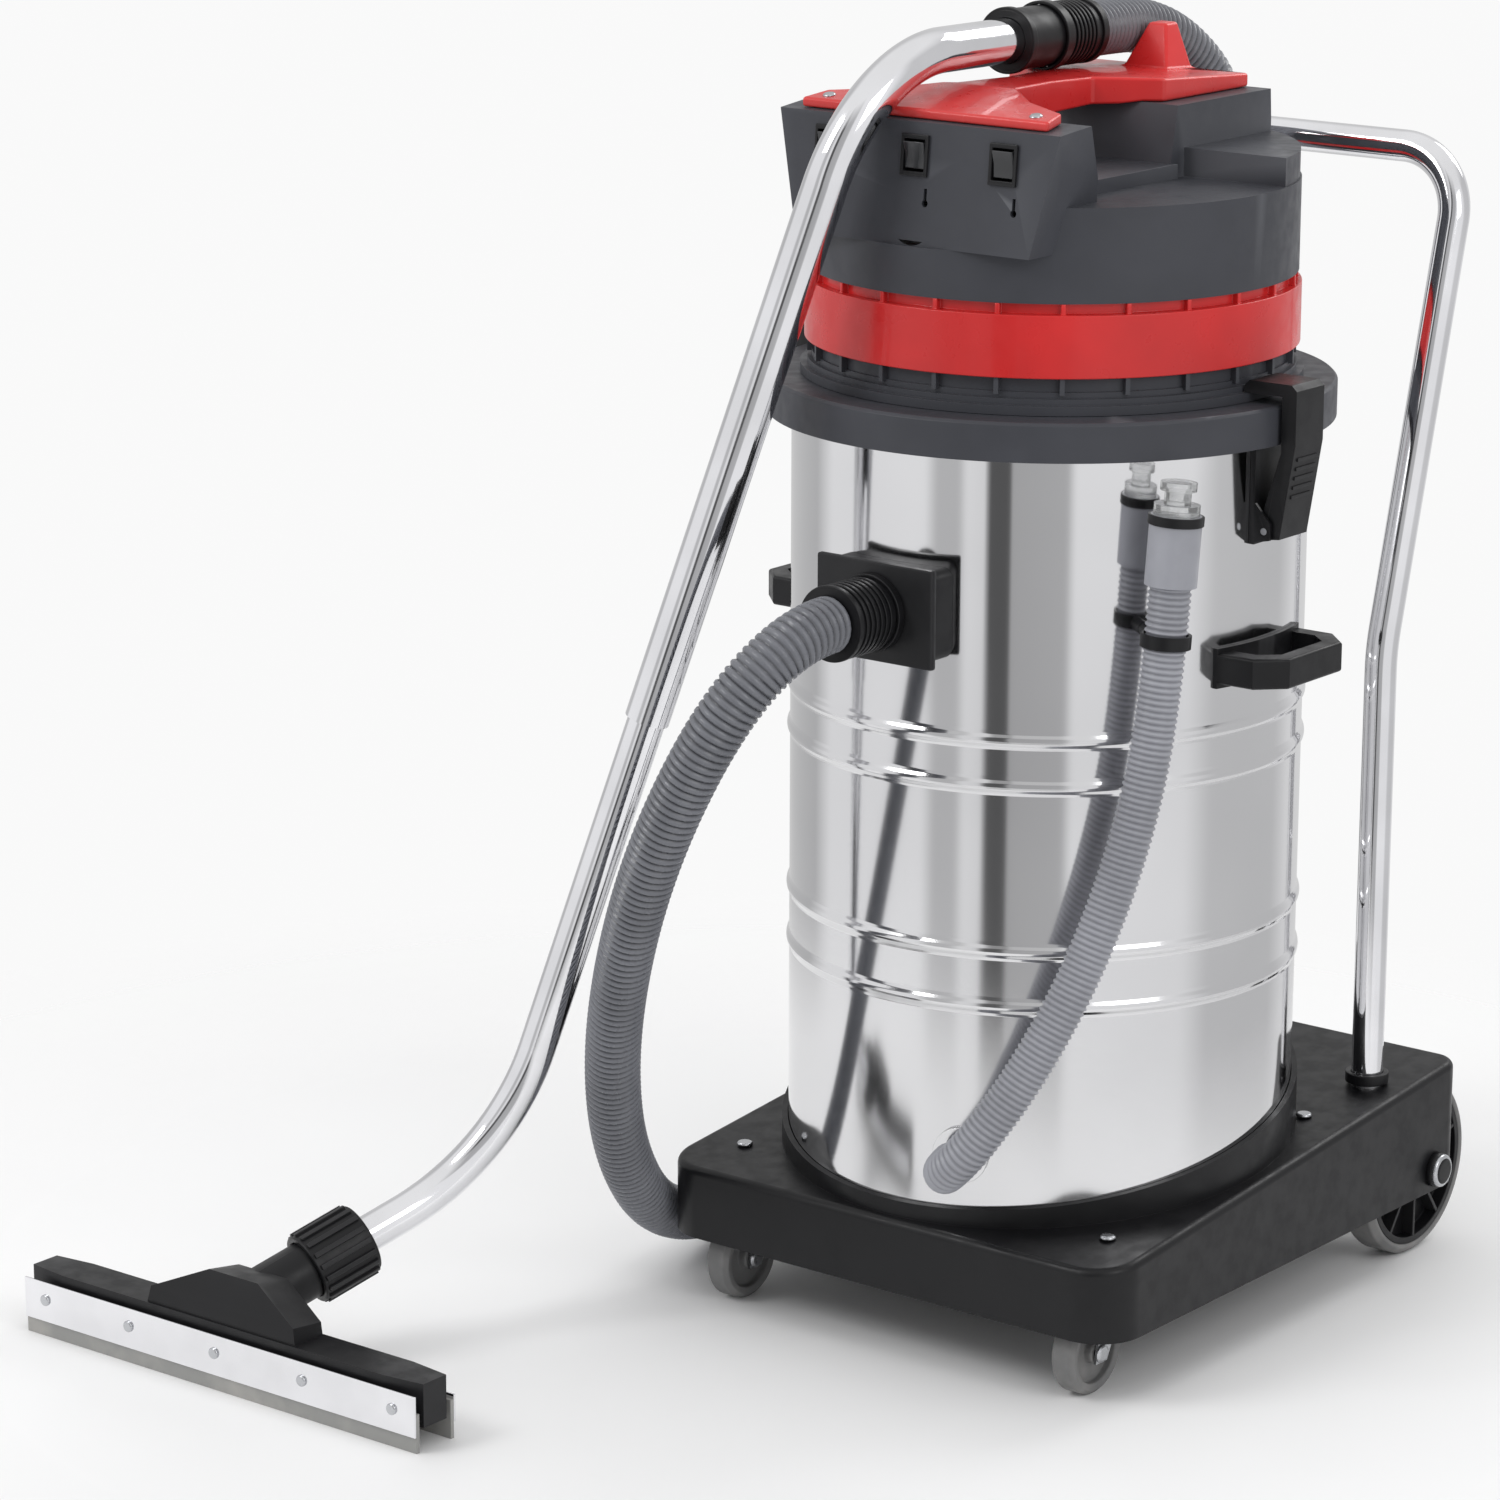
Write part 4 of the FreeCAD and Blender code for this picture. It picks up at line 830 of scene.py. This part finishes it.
def make_floor():
    """A pale floor that thins out to nothing well beyond the machine."""
    bpy.ops.mesh.primitive_plane_add(size=8, location=(0, 0, 0))
    floor = bpy.context.object
    floor.name = "floor"
    made = Finish("pale_floor")
    made.colour(made.blend(made.between(made.noise(0.5), 0, 1), (0.93, 0.93, 0.93), (0.95, 0.95, 0.95)))
    made.roughness(made.between(made.noise(4), 0.55, 0.65))
    distance = made.tree.nodes.new("ShaderNodeVectorMath")
    distance.operation = "LENGTH"
    made.link(made.coords, distance.inputs[0])
    clear = made.tree.nodes.new("ShaderNodeBsdfTransparent")
    faded = made.tree.nodes.new("ShaderNodeMixShader")
    made.link(made.between(distance.outputs["Value"], 0.0, 1.0, 0.72, 1.25), faded.inputs[0])
    made.link(made.shader.outputs["BSDF"], faded.inputs[1])
    made.link(clear.outputs["BSDF"], faded.inputs[2])
    made.link(faded.outputs["Shader"], made.tree.nodes["Material Output"].inputs["Surface"])
    floor.data.materials.append(made.material)


def make_surroundings():
    """Soft light from all round, in bands of grey and white that polished metal shows."""
    bpy.context.scene.view_settings.view_transform = "Standard"
    world = bpy.data.worlds.new("studio")
    bpy.context.scene.world = world
    world.use_nodes = True
    tree = world.node_tree
    sky = tree.nodes["Background"]
    direction = tree.nodes.new("ShaderNodeTexCoord").outputs["Generated"]
    parts = tree.nodes.new("ShaderNodeSeparateXYZ")
    tree.links.new(direction, parts.inputs[0])
    angle = maths(tree, "ARCTAN2", parts.outputs["Y"], parts.outputs["X"])
    away = CAMERA_AT - AXIS
    facing = math.atan2(away.y, away.x)
    share = maths(tree, "DIVIDE", maths(tree, "SUBTRACT", angle, facing), 2 * math.pi)
    share = maths(tree, "FRACT", maths(tree, "ADD", share, 0.5))
    ramp = tree.nodes.new("ShaderNodeValToRGB")
    ramp.color_ramp.interpolation = "LINEAR"
    stops = ((-180, 0.75), (-125, 0.6), (-112, 1.0), (-56, 1.0), (-50, 0.62), (-40, 0.62), (-36, 0.95),
             (-28, 0.9), (-26, 0.12), (-17, 0.12), (-15.5, 0.5), (8, 0.55), (12, 1.0), (66, 1.0), (80, 0.72),
             (125, 0.7), (140, 0.9), (180, 0.75))
    elements = ramp.color_ramp.elements
    elements[0].position = 0
    elements[1].position = 1
    for element, (degrees, value) in zip(elements, (stops[0], stops[-1])):
        element.color = (value, value, value, 1)
    for degrees, value in stops[1:-1]:
        element = elements.new(degrees / 360 + 0.5)
        element.color = (value, value, value * 1.01, 1)
    tree.links.new(share, ramp.inputs[0])
    height = tree.nodes.new("ShaderNodeMapRange")
    for name, value in (("From Min", 0.55), ("From Max", 0.8), ("To Min", 0.0), ("To Max", 1.0)):
        height.inputs[name].default_value = value
    tree.links.new(parts.outputs["Z"], height.inputs["Value"])
    above = tree.nodes.new("ShaderNodeMix")
    above.data_type = "RGBA"
    above.inputs["B"].default_value = (1, 1, 1, 1)
    tree.links.new(height.outputs["Result"], above.inputs["Factor"])
    tree.links.new(ramp.outputs[0], above.inputs["A"])
    seen = tree.nodes.new("ShaderNodeLightPath").outputs["Is Camera Ray"]
    backdrop = tree.nodes.new("ShaderNodeMix")
    backdrop.data_type = "RGBA"
    backdrop.inputs["B"].default_value = (1.08, 1.08, 1.08, 1)
    tree.links.new(seen, backdrop.inputs["Factor"])
    tree.links.new(above.outputs["Result"], backdrop.inputs["A"])
    tree.links.new(backdrop.outputs["Result"], sky.inputs["Color"])
    sky.inputs["Strength"].default_value = 0.88


STUDIO_LAMPS = (
    ("key", (-1800, -3200, 3400), 48, 1.6),
    ("fill", (3600, -900, 2600), 24, 1.8),
    ("back", (600, 3200, 3000), 30, 1.6),
)


def make_lamps():
    for name, place, power, width in STUDIO_LAMPS:
        data = bpy.data.lights.new(name, "AREA")
        data.energy = power
        data.size = width
        light = bpy.data.objects.new(name, data)
        bpy.context.scene.collection.objects.link(light)
        spot = at(*place)
        turn = (at(0, 0, 550) - spot).to_track_quat("-Z", "Y")
        light.matrix_world = Matrix.Translation(spot) @ turn.to_matrix().to_4x4()


# ---------------------------------------------------------------- the whole machine

for node_name, node_piece in NODES.items():
    node_piece.data.materials.clear()
    node_piece.data.materials.append(FINISHES[SLOT_OF[node_name]])

make_hose("suction_hose_ribbed", "suction_hose", HOSE_ROUTE, HOSE_R, 6.6, 2.4, 4.0, 0.0, "hose_grey")
drain_axis = (Vector(DRAIN_ROUTE[-1]) - Vector(DRAIN_ROUTE[-2])).normalized()
drain_ring = raised_rings("drain_cuff_ring", DRAIN_ROUTE[-1], drain_axis, [(50, 8, 23)],
                          "black_plastic", ROOT)
make_hose("drain_hose_ribbed", "drain_hose", DRAIN_ROUTE, DRAIN_R, 5.2, 1.8, 3.0, 1.0, "drain_hose_grey")
make_drum()
make_head()
make_wand()
make_push_handle()
make_wheels()
make_fittings()
make_softened()
make_floor()
make_surroundings()
make_lamps()
